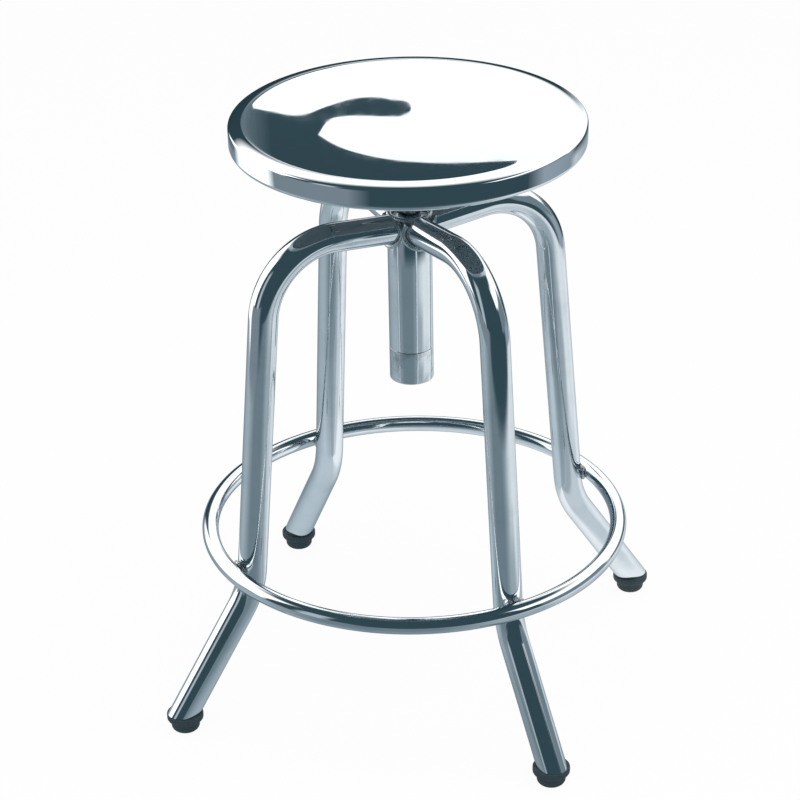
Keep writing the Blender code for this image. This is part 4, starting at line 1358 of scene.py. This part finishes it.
world = bpy.data.worlds.new("studio")
bpy.context.scene.world = world
tree = bare_tree(world)
azimuth, elevation = bearings(tree, object_place(tree, "Generated"))
seen = paint_windows(tree, WHITE, azimuth, elevation, [
    (DARK_REFLECTION, (-200, 200), (49, 140), 10.0),
    (DARK_REFLECTION, (-177, -148), (-20, 27), 5.0),
    (DARK_REFLECTION, (168, 200), (-20, 14), 6.0),
    (SHADE, (116, 154), (-20, 9), 6.0),
    (GLOOM, (66, 116), (-20, 24), 5.0),
    (DARK_REFLECTION, (-82, 59), (-95, 95), 4.0),
    (DARK_REFLECTION, (40, 68), (-20, 27), 4.0),
    (STREAK, (-62, -46), (-5, 36), 6.0),
])
direct, shiny = ray_kinds(tree)
plain = glow(tree, "ShaderNodeBackground")
reflected = glow(tree, "ShaderNodeBackground", seen)
ambient = glow(tree, "ShaderNodeBackground", strength=AMBIENT_STRENGTH)
shown = mix_shaders(tree, direct, mix_shaders(tree, shiny, ambient, reflected), plain)
add_node(tree, "ShaderNodeOutputWorld", {"Surface": shown})

FLOOR_SIZE = 14.0
FLOOR_COLOUR = (0.9, 0.9, 0.9, 1.0)
FLOOR_SHADOW = 0.05
LAMP_AIM_HEIGHT = 0.25

floor_material = bpy.data.materials.new("white_floor")
tree = bare_tree(floor_material)
place = object_place(tree)
azimuth, _ = bearings(tree, place)
distance = add_node(tree, "ShaderNodeVectorMath", {0: place}, operation="LENGTH").outputs["Value"]
reach = times(distance, 100.0)
# Painted reflection: mirrored rays see the floor in these greys and darks, laid out by bearing and distance
# round the stool.
seen = paint_windows(tree, MIRRORED_FLOOR_TONE, azimuth, reach, [
    (MIDDLE_GREY, (-170, 45), (-999, 2000), 50.0),
    (SOFT_GREY, (-170, -28), (-999, 32), 16.0),
    (PALE, (106, 165), (-999, 110), 12.0),
    (LIGHT_GREY, (66, 102), (-999, 52), 12.0),
    (DULL_GREY, (34, 64), (-999, 70), 16.0),
    (SEAT_SHADE, (-60, 28), (14, 2000), 40.0),
    (DARK_REFLECTION, (118, 222), (135, 2000), 14.0),
    (DUSK, (-94, -20), (105, 2000), 8.0),
    (WHITE, (-136, -94), (112, 2000), 8.0),
    (WHITE, (70, 98), (190, 2000), 12.0),
    (DEEP_GREY, (76, 124), (110, 2000), 8.0),
    (DARK_REFLECTION, (-30, 84), (108, 2000), 14.0),
])
direct, shiny = ray_kinds(tree)
diffuse = wire(tree, "ShaderNodeBsdfDiffuse", {"Color": FLOOR_COLOUR})
shadowed = mix_shaders(tree, FLOOR_SHADOW, glow(tree, "ShaderNodeEmission"), diffuse)
mirror = glow(tree, "ShaderNodeEmission", seen)
shown = mix_shaders(tree, shiny, mix_shaders(tree, direct, diffuse, shadowed), mirror)
add_node(tree, "ShaderNodeOutputMaterial", {"Surface": shown})

floor_mesh = bpy.data.meshes.new("studio_floor")
half = FLOOR_SIZE / 2
corners = [(-half, -half, 0), (half, -half, 0), (half, half, 0), (-half, half, 0)]
floor_mesh.from_pydata(corners, [], [(0, 1, 2, 3)])
floor = new_piece("studio_floor", floor_mesh, floor_material)


def soft_lamp(name, place, size, power):
    """A square lamp that faces the stool and lights everything but the reflections."""
    light = bpy.data.lights.new(name, "AREA")
    light.shape = "SQUARE"
    light.size = size
    light.energy = power
    lamp = placed(name, light)
    lamp.location = place
    towards = Vector((0, 0, LAMP_AIM_HEIGHT)) - Vector(place)
    lamp.rotation_euler = towards.to_track_quat("-Z", "Y").to_euler()
    lamp.visible_glossy = False


soft_lamp("lamp_over", (0.3, -0.4, 2.6), 2.0, 26)
soft_lamp("lamp_left", (-2.2, -0.6, 1.6), 1.6, 14)
soft_lamp("lamp_right", (1.6, -1.8, 1.4), 1.6, 9)


# The seat's dark flag
# A dark board behind the stool, which the seat's bowl reflects as a hook-shaped shadow.
# Its tone is painted paler, in uneven streaks, towards its left end, so the seat's reflected shadow fades
# there.

FLAG_DISTANCE = 1.0
FLAG_ELEVATION = math.radians(21.6)
SEAT_TOP = 0.5225
FLAG_COLOUR = (0.045, 0.086, 0.106)
PALE_END_COLOUR = (0.22, 0.29, 0.33)
FADE_START = -0.122
FADE_END = -0.150
STREAK_SCALE = 260.0
FLAG_CORNERS = ((-0.080, -0.009), (0.098, -0.043))
FLAG_OUTLINE = [
    (0.003, 0.016), (-0.015, 0.023), (-0.041, 0.025), (-0.069, 0.019), (-0.096, 0.011),
    (-0.123, 0.016), (-0.160, 0.024), (-0.215, 0.022), (-0.225, -0.006), (-0.180, -0.030),
    (-0.140, -0.054), (-0.105, -0.071), (-0.060, -0.085), (0.000, -0.092), (0.050, -0.084),
    (0.082, -0.062), (0.098, -0.043), (0.074, -0.044), (0.048, -0.045), (0.015, -0.044),
    (-0.018, -0.039), (-0.044, -0.031), (-0.063, -0.022), (-0.080, -0.009), (-0.069, 0.006),
    (-0.056, 0.009), (-0.039, 0.009), (-0.017, 0.008), (-0.004, 0.009),
]

flag_curve = bpy.data.curves.new("seat_flag", "CURVE")
flag_curve.dimensions = "2D"
flag_curve.fill_mode = "BOTH"
spline = flag_curve.splines.new("BEZIER")
spline.bezier_points.add(len(FLAG_OUTLINE) - 1)
spline.use_cyclic_u = True
for point, (x, y) in zip(spline.bezier_points, FLAG_OUTLINE):
    point.co = (x, y, 0)
    bend = "VECTOR" if (x, y) in FLAG_CORNERS else "AUTO"
    point.handle_left_type = bend
    point.handle_right_type = bend
flag_draft = placed("seat_flag_draft", flag_curve)
depsgraph = bpy.context.evaluated_depsgraph_get()
flag_mesh = bpy.data.meshes.new_from_object(flag_draft.evaluated_get(depsgraph), depsgraph=depsgraph)
bpy.data.objects.remove(flag_draft)
flag_place = Matrix.Rotation(CAMERA_TURN, 4, "Z")
flag_height = SEAT_TOP + FLAG_DISTANCE * math.sin(FLAG_ELEVATION)
flag_place @= Matrix.Translation((0, FLAG_DISTANCE * math.cos(FLAG_ELEVATION), flag_height))
flag_place @= Matrix.Rotation(math.radians(90) + FLAG_ELEVATION, 4, "X")
flag_mesh.transform(flag_place)
flag_material = bpy.data.materials.new("dark_flag")
tree = bare_tree(flag_material)
sockets = {"Vector": object_place(tree), "Angle": -CAMERA_TURN}
across = parts_of(wire(tree, "ShaderNodeVectorRotate", sockets, rotation_type="Z_AXIS"))[0]
# Painted reflection: the streaky paler left end fades the dark hook that the seat mirrors.
worn = mapped(across, FADE_START, FADE_END)
streaks = line_noise(times(across, STREAK_SCALE), 3)
paling = times(worn, times(streaks, 1.5))
tone = mixed(paling, FLAG_COLOUR, PALE_END_COLOUR)
add_node(tree, "ShaderNodeOutputMaterial", {"Surface": glow(tree, "ShaderNodeEmission", tone)})
flag = new_piece("seat_flag", flag_mesh, flag_material)
flag.visible_camera = False
flag.visible_diffuse = False
flag.visible_shadow = False


# The camera
# It stands 2.2 m off to the front left, a little above the seat, and looks down on the stool.

CAMERA_PLACE = (-1.0666, -1.9242, 1.3984)
CAMERA_LENS = 127.6
CAMERA_SENSOR = 36.0
CAMERA_PITCH = math.radians(27.30)
CAMERA_YAW = math.radians(-0.28)
CAMERA_ROLL = math.radians(-1.05)

camera_data = bpy.data.cameras.new("camera")
camera_data.lens = CAMERA_LENS
camera_data.sensor_width = CAMERA_SENSOR
camera = placed("camera", camera_data)
aim = Matrix.Rotation(CAMERA_TURN - CAMERA_YAW, 4, "Z")
aim @= Matrix.Rotation(math.radians(90) - CAMERA_PITCH, 4, "X")
aim @= Matrix.Rotation(CAMERA_ROLL, 4, "Z")
camera.matrix_world = Matrix.Translation(CAMERA_PLACE) @ aim
bpy.context.scene.camera = camera
bpy.context.scene.view_settings.view_transform = "Standard"
